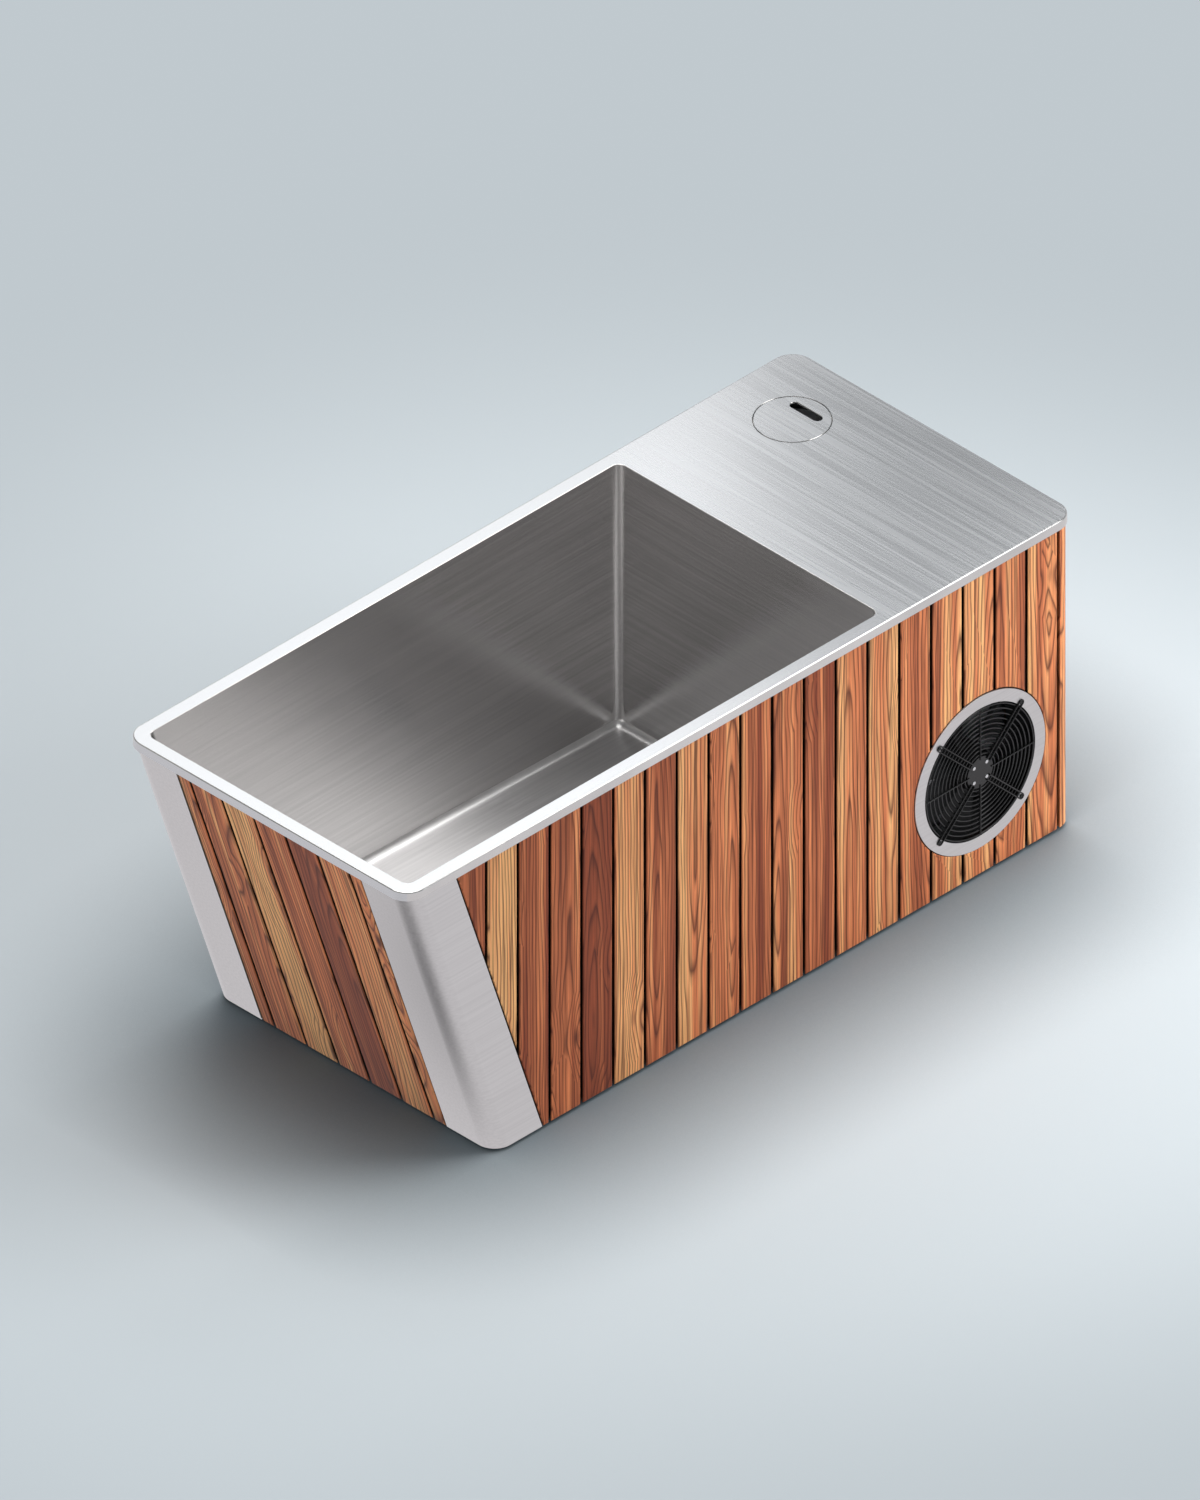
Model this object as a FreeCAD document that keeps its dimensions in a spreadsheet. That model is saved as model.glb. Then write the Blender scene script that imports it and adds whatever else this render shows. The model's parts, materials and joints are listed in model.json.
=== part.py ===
import FreeCAD, Part
import math
import os
import re

import Sketcher
from FreeCAD import Placement, Rotation, Vector

# Cold plunge tub: a steel basin under a folded steel deck, clad in upright timber boards, with a
# raked front end and a chiller bay under the deck at the other end.
# Frame: millimetres, origin on the floor under the middle of the rim, +X to the chiller end, +Y to
# the side without the fan, +Z up.

SIZES = (
    # the whole tub
    ("overall_length", 1800, "rim to rim along X"),
    ("overall_width", 764, "rim to rim along Y"),
    ("overall_height", 725, "floor to deck"),
    ("rake_angle", 18.5, "lean of the front end from upright, degrees"),
    ("foot_height", 8, "floor to the bottom of the cladding"),
    ("foot_radius", 20, "rubber foot pad"),
    ("foot_setback", 40, "end of the base frame to the nearest foot's middle"),
    # deck and basin
    ("rim_width", 32, "outer edge of the rim to the pool"),
    ("rim_skirt", 20, "height of the turned-down rim"),
    ("rim_tuck", 8, "how far the cladding runs up behind the skirt"),
    ("rim_corner", 45, "rim corner radius in plan"),
    ("rim_round", 3, "bend radius along the top of the rim"),
    ("pool_round", 1.5, "eased edge round the pool opening"),
    ("deck_sheet", 2, "deck sheet"),
    ("deck_length", 500, "rear deck, pool to rim"),
    ("pool_floor_height", 119, "floor to the pool's floor at the rear wall"),
    ("floor_fall", 26, "fall of the pool floor towards the rear"),
    ("basin_sheet", 2, "basin sheet"),
    ("basin_corner", 18, "inner radius of the basin's corners"),
    # cladding
    ("body_inset", 5, "rim edge to the face of the boards"),
    ("body_corner", 36, "outer radius of the rear corner posts"),
    ("board_pitch", 85.4, "one board and one joint"),
    ("board_gap", 7, "open joint between boards"),
    ("board_thickness", 12, "board"),
    ("backing_thickness", 2, "black sheet behind the boards"),
    ("cover_leg", 128, "each leg of a front corner cover"),
    ("cover_corner", 42, "outer radius of a front corner cover"),
    ("cover_sheet", 2, "corner cover sheet"),
    ("cover_gap", 4, "shadow gap between a cover and the boards"),
    ("rail_height", 30, "cladding rail"),
    ("mid_rail_height", 440, "floor to the middle of the middle rail"),
    ("rear_panel_thickness", 13, "panel that carries the rear boards"),
    # frame and insulation
    ("base_tube", 30, "square frame tube"),
    ("tube_wall", 2, "wall of the frame tube"),
    ("bearer_offset", 200, "middle plane to the inner face of a bearer"),
    ("bearer_width", 40, "bearer under the basin"),
    ("bulkhead_foam_thickness", 30, "foam between the basin and the chiller bay"),
    ("floor_foam_thickness", 25, "foam under the pool floor"),
    ("tray_sheet", 2, "equipment tray"),
    # lid and filter
    ("lid_radius", 75, "access lid"),
    ("lid_thickness", 4, "access lid"),
    ("lid_chamfer", 0.6, "broken edge of the lid"),
    ("lid_clearance", 1.2, "radial gap round the lid"),
    ("lid_setback", 167, "rear rim to the lid's middle"),
    ("lid_from_side", 166, "side rim to the lid's middle"),
    ("slot_length", 80, "finger slot along Y"),
    ("slot_width", 20, "finger slot along X"),
    ("slot_shift", 37, "lid's middle to the slot's middle"),
    ("ledge_width", 12, "ledge under the edge of the lid"),
    ("gasket_thickness", 1.5, "gasket under the lid"),
    ("gasket_margin", 1.5, "bare ledge at each edge of the gasket"),
    ("collar_flange", 22, "collar beyond the lid"),
    ("collar_height", 16, "collar"),
    ("filter_radius", 80, "filter housing, outside"),
    ("filter_wall", 4, "filter housing"),
    ("filter_base_height", 330, "floor to the underside of the filter housing"),
    ("filter_port_height", 420, "floor to the housing's side port"),
    ("filter_port_length", 12, "side port of the housing"),
    ("cartridge_radius", 58, "filter cartridge"),
    ("cartridge_bore", 20, "filter cartridge"),
    ("cartridge_headroom", 118, "filter cartridge to the collar"),
    # fan
    ("fan_shift", -7, "middle of the bay to the fan's axis along X"),
    ("fan_height", 245, "floor to the fan's axis"),
    ("fan_radius", 148, "fan opening"),
    ("ring_radius", 175, "trim ring, outside"),
    ("ring_thickness", 2.5, "trim ring"),
    ("ring_proud", 1, "trim ring in front of the boards"),
    ("ring_chamfer", 0.8, "outer edge of the trim ring"),
    ("ring_clearance", 0.5, "rebate round the trim ring"),
    ("guard_wire", 1.6, "radius of the guard's rings and arms"),
    ("guard_thin_wire", 1.2, "radius of the guard's cross wires"),
    ("guard_first_ring", 40, "radius of the smallest ring"),
    ("guard_ring_pitch", 10.4, "step from ring to ring"),
    ("guard_ring_count", 11, "rings"),
    ("guard_hub_radius", 34.5, "plate in the middle of the guard"),
    ("guard_hub_plate", 2, "plate in the middle of the guard"),
    ("arm_spacing", 11, "between the two wires of an arm"),
    ("arm_start", 29, "axis to the inner end of an arm"),
    ("arm_reach", 154, "axis to the screw in the arm's eye"),
    ("screw_head", 3.4, "radius of a guard screw's head"),
    ("screw_head_height", 3.2, "guard screw's head"),
    ("screw_shank", 2, "radius of a screw's shank"),
    ("screw_clearance", 0.3, "hole round a screw"),
    ("rivet_radius", 4, "hub rivet"),
    ("rivet_height", 2, "hub rivet"),
    ("rivet_circle", 24, "axis to a hub rivet"),
    ("motor_flange_radius", 33, "fan motor flange"),
    ("motor_flange", 4, "fan motor flange"),
    ("motor_boss_radius", 22, "fan motor boss"),
    ("motor_boss", 10, "fan motor boss"),
    ("fan_shaft_radius", 6, "fan motor shaft"),
    ("fan_shaft_length", 46, "fan motor shaft beyond the boss"),
    ("running_clearance", 0.05, "radial gap of a turning fit"),
    ("hub_gap", 2, "motor boss to the impeller's hub"),
    ("hub_radius", 46, "impeller hub"),
    ("hub_wall", 4, "impeller hub"),
    ("hub_length", 42, "impeller hub"),
    ("bearing_radius", 10, "bearing tube in the impeller's hub"),
    ("blade_count", 7, "impeller blades"),
    ("blade_tip", 136, "axis to a blade's tip"),
    ("blade_root_chord", 44, "blade at the hub"),
    ("blade_tip_chord", 64, "blade at the tip"),
    ("blade_root_pitch", 44, "blade at the hub, degrees from the fan's plane"),
    ("blade_tip_pitch", 26, "blade at the tip, degrees from the fan's plane"),
    ("blade_thickness", 2.5, "blade"),
    ("blade_camber", 4, "rise of a blade's curved section"),
    ("shroud_flange", 158, "radius of the shroud's flange"),
    ("shroud_sheet", 2, "shroud sheet"),
    ("shroud_depth", 62, "shroud"),
    # chiller
    ("condenser_gap", 10, "shroud to condenser"),
    ("condenser_half", 150, "half the condenser's fin block"),
    ("condenser_depth", 45, "condenser"),
    ("condenser_height", 350, "condenser"),
    ("condenser_plate", 2, "end plate of the condenser"),
    ("bend_radius", 14, "return bend of the condenser's tube"),
    ("bend_tube", 4.75, "radius of the condenser's tube"),
    ("bend_pitch", 62, "step between return bends"),
    ("compressor_radius", 60, "compressor"),
    ("compressor_height", 230, "compressor"),
    ("compressor_shoulder", 14, "rounded shoulder of the compressor"),
    ("compressor_plate", 4, "foot plate of the compressor"),
    ("compressor_plate_half", 66, "half the foot plate"),
    ("compressor_setback", 125, "bay's front to the compressor's middle"),
    ("compressor_from_side", 207, "board face to the compressor's middle"),
    ("mount_radius", 10, "rubber mount"),
    ("mount_height", 15, "rubber mount"),
    ("exchanger_length", 80, "heat exchanger along X"),
    ("exchanger_height", 290, "heat exchanger"),
    ("exchanger_margin", 28, "port to the heat exchanger's edge"),
    ("exchanger_setback", 20, "rear panel to the heat exchanger"),
    ("port_spacing", 36, "water port to refrigerant port"),
    ("copper_radius", 5, "refrigerant line"),
    ("copper_bend", 16, "bend of a refrigerant line"),
    ("copper_turn", 110, "heat exchanger to the suction line's drop"),
    ("copper_rise", 40, "compressor to the top of the discharge line"),
    ("liquid_line_height", 50, "tray to the liquid line"),
    ("liquid_line_setback", 80, "heat exchanger to the liquid line's turn"),
    ("suction_line_height", 120, "tray to the suction line's low run"),
    # pump
    ("pump_setback", 80, "bay's front to the pump's inlet"),
    ("pump_offset", 75, "middle plane to the pump's axis"),
    ("pump_axis_height", 65, "tray to the pump's axis"),
    ("pump_radius", 52, "pump casing"),
    ("pump_nozzle", 20, "length of the pump's inlet"),
    ("pump_casing_length", 60, "pump casing"),
    ("pump_wall", 9, "pump casing"),
    ("pump_outlet_length", 14, "pump outlet above the casing"),
    ("rotor_radius", 36, "pump impeller"),
    ("rotor_gap", 6, "casing to impeller"),
    ("rotor_disc", 8, "pump impeller's disc"),
    ("rotor_shaft", 6, "pump shaft"),
    ("pump_motor_radius", 46, "pump motor"),
    ("pump_motor_length", 140, "pump motor"),
    ("pump_motor_taper", 8, "rear edge of the pump motor"),
    ("pump_shaft_seat", 70, "pump shaft inside the motor"),
    ("pump_foot_half", 30, "half the pump's foot"),
    ("pump_foot_setback", 30, "pump casing to foot"),
    ("pump_foot_length", 80, "pump foot"),
    # water pipes and floor fittings
    ("pipe_radius", 14, "water pipe, outside"),
    ("pipe_bore", 11, "water pipe, inside"),
    ("pipe_bend", 24, "bend of a water pipe"),
    ("pipe_turn", 40, "bay's front to where the pipes turn"),
    ("manifold_half", 28, "half the manifold block"),
    ("manifold_height", 50, "manifold block"),
    ("sump_setback", 280, "rear wall to the suction fitting"),
    ("return_lead", 324, "front end of the pool's floor to the return fitting"),
    ("return_run", 68, "side run of the return pipe to its fitting"),
    ("fitting_flange", 45, "radius of the suction strainer"),
    ("return_flange", 34, "radius of the return nozzle"),
    ("fitting_rise", 6, "fitting above the pool floor"),
    ("fitting_chamfer", 3, "edge of a fitting"),
    ("fitting_chamber", 34, "radius of the room under the strainer"),
    ("fitting_plate", 3, "strainer plate"),
    ("fitting_base", 1, "fitting's seat on the floor"),
    ("fitting_stem", 20, "radius of a fitting's threaded stem"),
    ("stem_length", 30, "stem below the pool floor"),
    ("stem_clearance", 0.5, "hole round a stem"),
    ("nut_radius", 28, "nut on a stem"),
    ("nut_height", 10, "nut on a stem"),
    ("nut_clearance", 2, "foam round a nut"),
    ("strainer_hole", 3, "radius of a strainer hole"),
    ("strainer_circle", 24, "middle of the strainer to its ring of holes"),
    ("strainer_count", 12, "strainer holes in the ring"),
    # controls
    ("control_low", 460, "floor to the control plate"),
    ("control_drop", 43, "deck to the control plate"),
    ("control_sheet", 2, "control plate"),
    ("control_margin", 20, "control plate round the box"),
    ("control_setback", 50, "bay's front to the control box"),
    ("control_length", 280, "control box"),
    ("control_depth", 80, "control box"),
    ("control_wall", 3, "control box"),
    # service recess
    ("recess_width", 160, "service recess"),
    ("recess_height", 170, "service recess"),
    ("recess_depth", 75, "service recess"),
    ("recess_low", 70, "floor to the service recess"),
    ("recess_sheet", 2, "service recess"),
    ("recess_flange", 12, "flange on the boards"),
    ("cut_clearance", 1, "opening in the boards round what passes through"),
    ("valve_height", 150, "floor to the drain valve's axis"),
    ("valve_tail", 16, "drain valve behind the recess"),
    ("valve_radius", 20, "drain valve body"),
    ("valve_length", 48, "drain valve body"),
    ("valve_bore", 8, "drain valve's way"),
    ("ball_radius", 12, "valve ball"),
    ("ball_clearance", 0.3, "room round the ball"),
    ("stem_radius", 4, "valve stem"),
    ("thread_radius", 13.2, "hose thread, outside"),
    ("thread_length", 20, "hose thread"),
    ("handle_half", 20, "half the valve's handle"),
    ("handle_width", 10, "valve handle"),
    ("handle_height", 9, "valve handle"),
    ("handle_gap", 4, "valve body to handle"),
    ("control_column", 52, "valve's axis to the inlet and switch"),
    ("inlet_height", 115, "floor to the power inlet"),
    ("inlet_radius", 13, "power inlet's nut"),
    ("inlet_neck", 9, "power inlet through the wall"),
    ("inlet_bore", 5, "cable hole"),
    ("inlet_back", 14, "power inlet behind the wall"),
    ("inlet_front", 20, "power inlet in front of the wall"),
    ("inlet_taper", 10, "tapered nose of the inlet"),
    ("inlet_nose", 10, "radius of the inlet's nose"),
    ("switch_height", 195, "floor to the switch"),
    ("switch_half_width", 13, "half the switch's frame"),
    ("switch_half_height", 18, "half the switch's frame"),
    ("switch_frame", 3, "switch frame in front of the wall"),
    ("switch_depth", 24, "switch behind the wall"),
    ("switch_wall", 3.5, "switch frame round the rocker"),
    ("switch_floor", 8, "back of the switch behind the rocker"),
    ("rocker_clearance", 0.5, "gap at the sides of the rocker"),
    ("rocker_half_height", 11.5, "half the rocker"),
    ("rocker_back", 6, "pivot to the back of the rocker"),
    ("rocker_front", 6, "pivot to the face of the rocker"),
    ("rocker_tilt", 8, "rocker's lean when off, degrees"),
    ("rocker_pin", 1.5, "radius of the rocker's pin"),
    ("rocker_pin_seat", 2, "pin inside the frame"),
    # rear vent and screws
    ("vent_side", 51, "rear post to the vent plate"),
    ("vent_drop", 53, "top of the boards to the vent plate"),
    ("vent_low", 460, "floor to the vent plate"),
    ("vent_inner", 10, "middle plane to the vent plate"),
    ("vent_sheet", 2, "vent plate"),
    ("vent_margin", 16, "plate round the slots"),
    ("vent_slot", 7, "height of a slot"),
    ("vent_pitch", 18, "step between slots"),
    ("panel_screw_head", 5, "radius of a panel screw's head"),
    ("panel_screw_rise", 2.5, "panel screw's head"),
    ("panel_screw_margin", 16, "edge of the rear boards to a screw"),
    ("panel_screw_low", 40, "floor to the lowest screws"),
    ("panel_screw_drop", 53, "top of the boards to the highest screws"),
)

doc = FreeCAD.newDocument("cold_plunge_tub")
sheet = doc.addObject("Spreadsheet::Sheet", "sizes")
for row, (alias, amount, meaning) in enumerate(SIZES, start=1):
    sheet.set(f"A{row}", meaning)
    sheet.set(f"B{row}", str(amount))
    sheet.setAlias(f"B{row}", alias)
doc.recompute()

NAMES = {alias for alias, amount, meaning in SIZES}
AXES = {
    "x": Rotation(Vector(0, 1, 0), 90),
    "y": Rotation(Vector(1, 0, 0), -90),
    "z": Rotation(),
}
PLANES = {
    "xy": (Rotation(), Vector(0, 0, 1)),
    "xz": (Rotation(Vector(1, 0, 0), 90), Vector(0, 1, 0)),
}
NODES = []

# Planes of the tub, as expressions in the sheet's names
TOP = "overall_height"
UNDER_DECK = "(overall_height - deck_sheet)"
FRONT = "(-overall_length / 2)"
REAR = "(overall_length / 2)"
SLOPE = "tan(rake_angle * 1deg)"
LEAN = "cos(rake_angle * 1deg)"
SKIN_X = "(overall_length / 2 - body_inset)"
SKIN_Y = "(overall_width / 2 - body_inset)"
BOARD_Y = f"({SKIN_Y} - board_thickness)"
BACKING_Y = f"({BOARD_Y} - backing_thickness)"
POOL_Y = "(overall_width / 2 - rim_width)"
TANK_Y = f"({POOL_Y} + basin_sheet)"
POOL_REAR = f"({REAR} - deck_length)"
TANK_REAR = f"({POOL_REAR} + basin_sheet)"
BAY_FRONT = f"({TANK_REAR} + bulkhead_foam_thickness)"
BOARD_X = f"({SKIN_X} - board_thickness)"
BAY_REAR = f"({BOARD_X} - rear_panel_thickness)"
ARC_X = f"({SKIN_X} - body_corner)"
ARC_Y = f"({SKIN_Y} - body_corner)"
FLOOR = "pool_floor_height"
BODY_LOW = "foot_height"
BODY_TOP = "(overall_height - rim_skirt + rim_tuck)"
FRAME_TOP = "(foot_height + base_tube)"
TRAY_TOP = f"({FRAME_TOP} + tray_sheet)"
FRAME_Y = f"({TANK_Y} - base_tube)"

# Depths behind the raked front face, measured level
BOARD_IN = f"(board_thickness / {LEAN})"
BACKING_IN = f"((board_thickness + backing_thickness) / {LEAN})"
TANK_IN = f"(rim_width - basin_sheet / {LEAN})"


def front_x(height, inward="0"):
    """X of a plane parallel to the raked front face, so far behind it, at a height."""
    return f"({FRONT} + ({TOP} - ({height})) * {SLOPE} + ({inward}))"


FLOOR_FRONT = front_x(f"{FLOOR} + floor_fall", "rim_width")
FLOOR_RUN = f"({POOL_REAR} - {FLOOR_FRONT})"
FRAME_FRONT = front_x(BODY_LOW, TANK_IN)


def floor_z(along):
    """Height of the sloping pool floor at an X."""
    return f"({FLOOR} + floor_fall * ({POOL_REAR} - ({along})) / {FLOOR_RUN})"


def under_floor(along):
    """Height of the underside of the basin's floor at an X."""
    return f"({floor_z(along)} - basin_sheet)"


def bound(text):
    """Write an expression in plain size names as one that reads the sheet."""
    return re.sub("[a-z_]+", lambda word: f"sizes.{word[0]}" if word[0] in NAMES else word[0], str(text))


def number(text):
    """The present value of an expression."""
    return float(sheet.evalExpression(bound(text)))


def bind(piece, **texts):
    """Tie properties of a piece to expressions."""
    for name, text in texts.items():
        piece.setExpression(name, bound(text))


def place(piece, x, y, z):
    """Tie the place of a piece to expressions."""
    for letter, text in zip("xyz", (x, y, z)):
        piece.setExpression(f"Placement.Base.{letter}", bound(text))


def node(label, piece):
    """Name a finished sub-part, so that it is written out."""
    piece.Label = label
    NODES.append(piece)
    return piece


def width_of(span):
    """Length of a (low, high) span of expressions."""
    return f"({span[1]}) - ({span[0]})"


def box(name, x, y, z):
    """A block from three (low, high) spans."""
    piece = doc.addObject("Part::Box", name)
    bind(piece, Length=width_of(x), Width=width_of(y), Height=width_of(z))
    place(piece, x[0], y[0], z[0])
    return piece


def rod(name, axis, start, radius, length):
    """A round bar along an axis from the middle of its first end."""
    piece = doc.addObject("Part::Cylinder", name)
    piece.Placement = Placement(Vector(), AXES[axis])
    bind(piece, Radius=radius, Height=length)
    place(piece, *start)
    return piece


def group(name, pieces):
    """Several solids as one object."""
    piece = doc.addObject("Part::Compound", name)
    piece.Links = pieces
    return piece


def join(name, *pieces):
    """Several solids melted into one."""
    piece = doc.addObject("Part::MultiFuse", name)
    piece.Shapes = list(pieces)
    piece.Refine = True
    return piece


def cut(name, base, *tools):
    """A solid with tools taken away that don't overlap each other."""
    piece = doc.addObject("Part::Cut", name)
    piece.Base = base
    piece.Tool = tools[0] if len(tools) == 1 else group(f"{name}_tools", list(tools))
    return piece


def tube(name, axis, x, y, z):
    """A square frame tube along an axis, open at its ends."""
    hollow = []
    for letter, (low, high) in zip("xyz", (x, y, z)):
        step = "-tube_wall" if letter == axis else "tube_wall"
        hollow.append((f"({low}) + {step}", f"({high}) - ({step})"))
    return cut(name, box(f"{name}_outside", x, y, z), box(f"{name}_inside", *hollow))


def polygon(sketch, points):
    """Close straight lines through (x, y) expressions, with every corner dimensioned."""
    spots = [Vector(number(x), number(y), 0) for x, y in points]
    count = len(spots)
    for index, spot in enumerate(spots):
        sketch.addGeometry(Part.LineSegment(spot, spots[(index + 1) % count]))
    for index, (x, y) in enumerate(points):
        sketch.addConstraint(Sketcher.Constraint("Coincident", index, 2, (index + 1) % count, 1))
        dimension(sketch, "DistanceX", (-1, 1, index, 1), x)
        dimension(sketch, "DistanceY", (-1, 1, index, 1), y)


def dimension(sketch, kind, ends, text):
    """Add a dimension that follows an expression."""
    position = sketch.addConstraint(Sketcher.Constraint(kind, *ends, number(text)))
    sketch.setExpression(f"Constraints[{position}]", bound(text))


def square_outline(sketch, corners):
    """Close level and upright lines through (x, y, radius) corners, sharp where the radius is None."""
    count = len(corners)
    spots = [Vector(number(x), number(y), 0) for x, y, radius in corners]
    bends = [0 if radius is None else number(radius) for x, y, radius in corners]
    ways = [(spots[(index + 1) % count] - spots[index]).normalize() for index in range(count)]
    first = sketch.GeometryCount
    for index in range(count):
        after = (index + 1) % count
        start = spots[index] + ways[index] * bends[index]
        end = spots[after] - ways[index] * bends[after]
        sketch.addGeometry(Part.LineSegment(start, end))
    for index, (x, y, radius) in enumerate(corners):
        upright = abs(ways[index].x) < abs(ways[index].y)
        line = first + index
        sketch.addConstraint(Sketcher.Constraint("Vertical" if upright else "Horizontal", line))
        dimension(sketch, "DistanceX" if upright else "DistanceY", (-1, 1, line, 1), x if upright else y)
    for index, (x, y, radius) in enumerate(corners):
        before = (index - 1) % count
        if radius is None:
            sketch.addConstraint(Sketcher.Constraint("Coincident", first + before, 2, first + index, 1))
            continue
        entry = spots[index] - ways[before] * bends[index]
        leave = spots[index] + ways[index] * bends[index]
        centre = entry + ways[index] * bends[index]
        leftward = ways[before].cross(ways[index]).z > 0
        ends = [entry - centre, leave - centre] if leftward else [leave - centre, entry - centre]
        angles = [math.atan2(end.y, end.x) for end in ends]
        circle = Part.Circle(centre, Vector(0, 0, 1), bends[index])
        arc = sketch.addGeometry(Part.ArcOfCircle(circle, *angles))
        arc_entry, arc_leave = (1, 2) if leftward else (2, 1)
        sketch.addConstraint(Sketcher.Constraint("Tangent", first + before, 2, arc, arc_entry))
        sketch.addConstraint(Sketcher.Constraint("Tangent", first + index, 1, arc, arc_leave))
        dimension(sketch, "Radius", (arc,), radius)


def rounded_rectangle(sketch, x, y, radius):
    """A rectangle over two (low, high) spans with four corners of one radius."""
    corners = ((x[0], y[0]), (x[1], y[0]), (x[1], y[1]), (x[0], y[1]))
    square_outline(sketch, [(across, along, radius) for across, along in corners])


def ring_outline(sketch, x, y, radius):
    """A circle with its middle and radius dimensioned."""
    centre = Vector(number(x), number(y), 0)
    circle = sketch.addGeometry(Part.Circle(centre, Vector(0, 0, 1), number(radius)))
    dimension(sketch, "DistanceX", (-1, 1, circle, 3), x)
    dimension(sketch, "DistanceY", (-1, 1, circle, 3), y)
    dimension(sketch, "Radius", (circle,), radius)


def prism(name, plane, points, start, depth):
    """A polygon on a plane, pushed along the plane's axis from a start over a depth."""
    turn, way = PLANES[plane]
    sketch = doc.addObject("Sketcher::SketchObject", f"{name}_outline")
    sketch.Placement = Placement(Vector(), turn)
    place(sketch, *(start if component else "0" for component in way))
    polygon(sketch, points)
    piece = doc.addObject("Part::Extrusion", name)
    piece.Base = sketch
    piece.DirMode = "Custom"
    piece.Dir = way
    piece.Solid = True
    bind(piece, LengthFwd=depth)
    return piece


def sketch_on(body, role, offset="0"):
    """A sketch on one of a body's own planes, moved along that plane's normal."""
    plane = next(feature for feature in body.Origin.OriginFeatures if feature.Role == role)
    sketch = body.newObject("Sketcher::SketchObject", f"{body.Name}_sketch")
    sketch.AttachmentSupport = [(plane, "")]
    sketch.MapMode = "FlatFace"
    sketch.setExpression("AttachmentOffset.Base.z", bound(offset))
    return sketch


def raise_sketch(body, kind, sketch, length, reverse=False):
    """A Pad or a Pocket of a sketch."""
    feature = body.newObject(f"PartDesign::{kind}", f"{body.Name}_{kind}")
    feature.Profile = sketch
    feature.Reversed = reverse
    bind(feature, Length=length)
    doc.recompute()
    return feature


def round_edges(body, base, chosen, radius):
    """A fillet on the chosen edges of a feature."""
    edges = [f"Edge{index}" for index, edge in enumerate(base.Shape.Edges, start=1) if chosen(edge)]
    fillet = body.newObject("PartDesign::Fillet", f"{body.Name}_round")
    fillet.Base = (base, edges)
    bind(fillet, Radius=radius)
    doc.recompute()
    return fillet


def turned(name, axis, start, profile, lean=None):
    """A (radius, distance) profile turned about an axis through a point, with the axis then leaned."""
    body = doc.addObject("PartDesign::Body", name)
    sketch = sketch_on(body, "XZ_Plane")
    polygon(sketch, profile)
    feature = body.newObject("PartDesign::Revolution", f"{name}_turn")
    feature.Profile = sketch
    feature.ReferenceAxis = (sketch, ["V_Axis"])
    feature.Angle = 360
    body.Placement = Placement(Vector(), (lean or Rotation()) * AXES[axis])
    place(body, *start)
    return body


def shaped(name, shape):
    """An object that holds a shape worked out from the sheet's values."""
    piece = doc.addObject("Part::Feature", name)
    piece.Shape = shape
    return piece


def bent_path(points, bend):
    """Straight runs through points, joined by arcs of one radius, as a wire."""
    edges = []
    start = points[0]
    for before, corner, after in zip(points, points[1:], points[2:]):
        back = (before - corner).normalize()
        ahead = (after - corner).normalize()
        half = back.getAngle(ahead) / 2
        entry = corner + back * (bend / math.tan(half))
        leave = corner + ahead * (bend / math.tan(half))
        crown = corner + (back + ahead).normalize() * (bend / math.sin(half) - bend)
        edges.append(Part.LineSegment(start, entry).toShape())
        edges.append(Part.Arc(entry, crown, leave).toShape())
        start = leave
    edges.append(Part.LineSegment(start, points[-1]).toShape())
    return Part.Wire(edges)


def swept(path, radius):
    """A round bar along a wire."""
    start = path.OrderedEdges[0]
    along = start.tangentAt(start.FirstParameter)
    section = Part.Wire(Part.makeCircle(radius, start.valueAt(start.FirstParameter), along))
    return path.makePipeShell([section], True, False)


def pipe(name, points, radius, bore, bend):
    """A tube through points given as expressions, solid where its bore is None."""
    path = bent_path([Vector(*(number(text) for text in point)) for point in points], number(bend))
    bar = swept(path, number(radius))
    return shaped(name, bar if bore is None else bar.cut(swept(path, number(bore))))


# Deck and basin

NEAR = 0.01
LID_X = f"({REAR} - lid_setback)"
LID_Y = "(overall_width / 2 - lid_from_side)"
LID_HOLE = "(lid_radius + lid_clearance)"


def lies_at(edge, height):
    """Whether an edge lies level at a height."""
    return max(abs(corner.Z - height) for corner in edge.Vertexes) < NEAR


def top_deck():
    """Folded top: a rounded tray upside down, cut for the pool and for the lid."""
    body = doc.addObject("PartDesign::Body", "deck")
    outside = sketch_on(body, "XY_Plane", f"{TOP} - rim_skirt")
    rounded_rectangle(outside, (FRONT, REAR), ("-overall_width / 2", "overall_width / 2"), "rim_corner")
    block = raise_sketch(body, "Pad", outside, "rim_skirt")
    round_edges(body, block, lambda edge: lies_at(edge, number(TOP)), "rim_round")
    inside = sketch_on(body, "XY_Plane", f"{TOP} - rim_skirt")
    rounded_rectangle(
        inside,
        (f"{FRONT} + deck_sheet", f"{REAR} - deck_sheet"),
        ("-overall_width / 2 + deck_sheet", "overall_width / 2 - deck_sheet"),
        "rim_corner - deck_sheet",
    )
    raise_sketch(body, "Pocket", inside, "rim_skirt - deck_sheet", reverse=True)
    openings = sketch_on(body, "XY_Plane", TOP)
    rounded_rectangle(openings, (f"{FRONT} + rim_width", POOL_REAR), (f"-{POOL_Y}", POOL_Y), "basin_corner")
    ring_outline(openings, LID_X, LID_Y, LID_HOLE)
    opened = raise_sketch(body, "Pocket", openings, "2 * deck_sheet")

    def at_pool(edge):
        reach = edge.BoundBox
        beside = reach.YMax < number(POOL_Y) + NEAR and reach.XMax < number(POOL_REAR) + NEAR
        behind = reach.XMin > number(f"{FRONT} + rim_width") - NEAR
        return lies_at(edge, number(TOP)) and beside and behind

    round_edges(body, opened, at_pool, "pool_round")
    node("top_deck", body)


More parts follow.
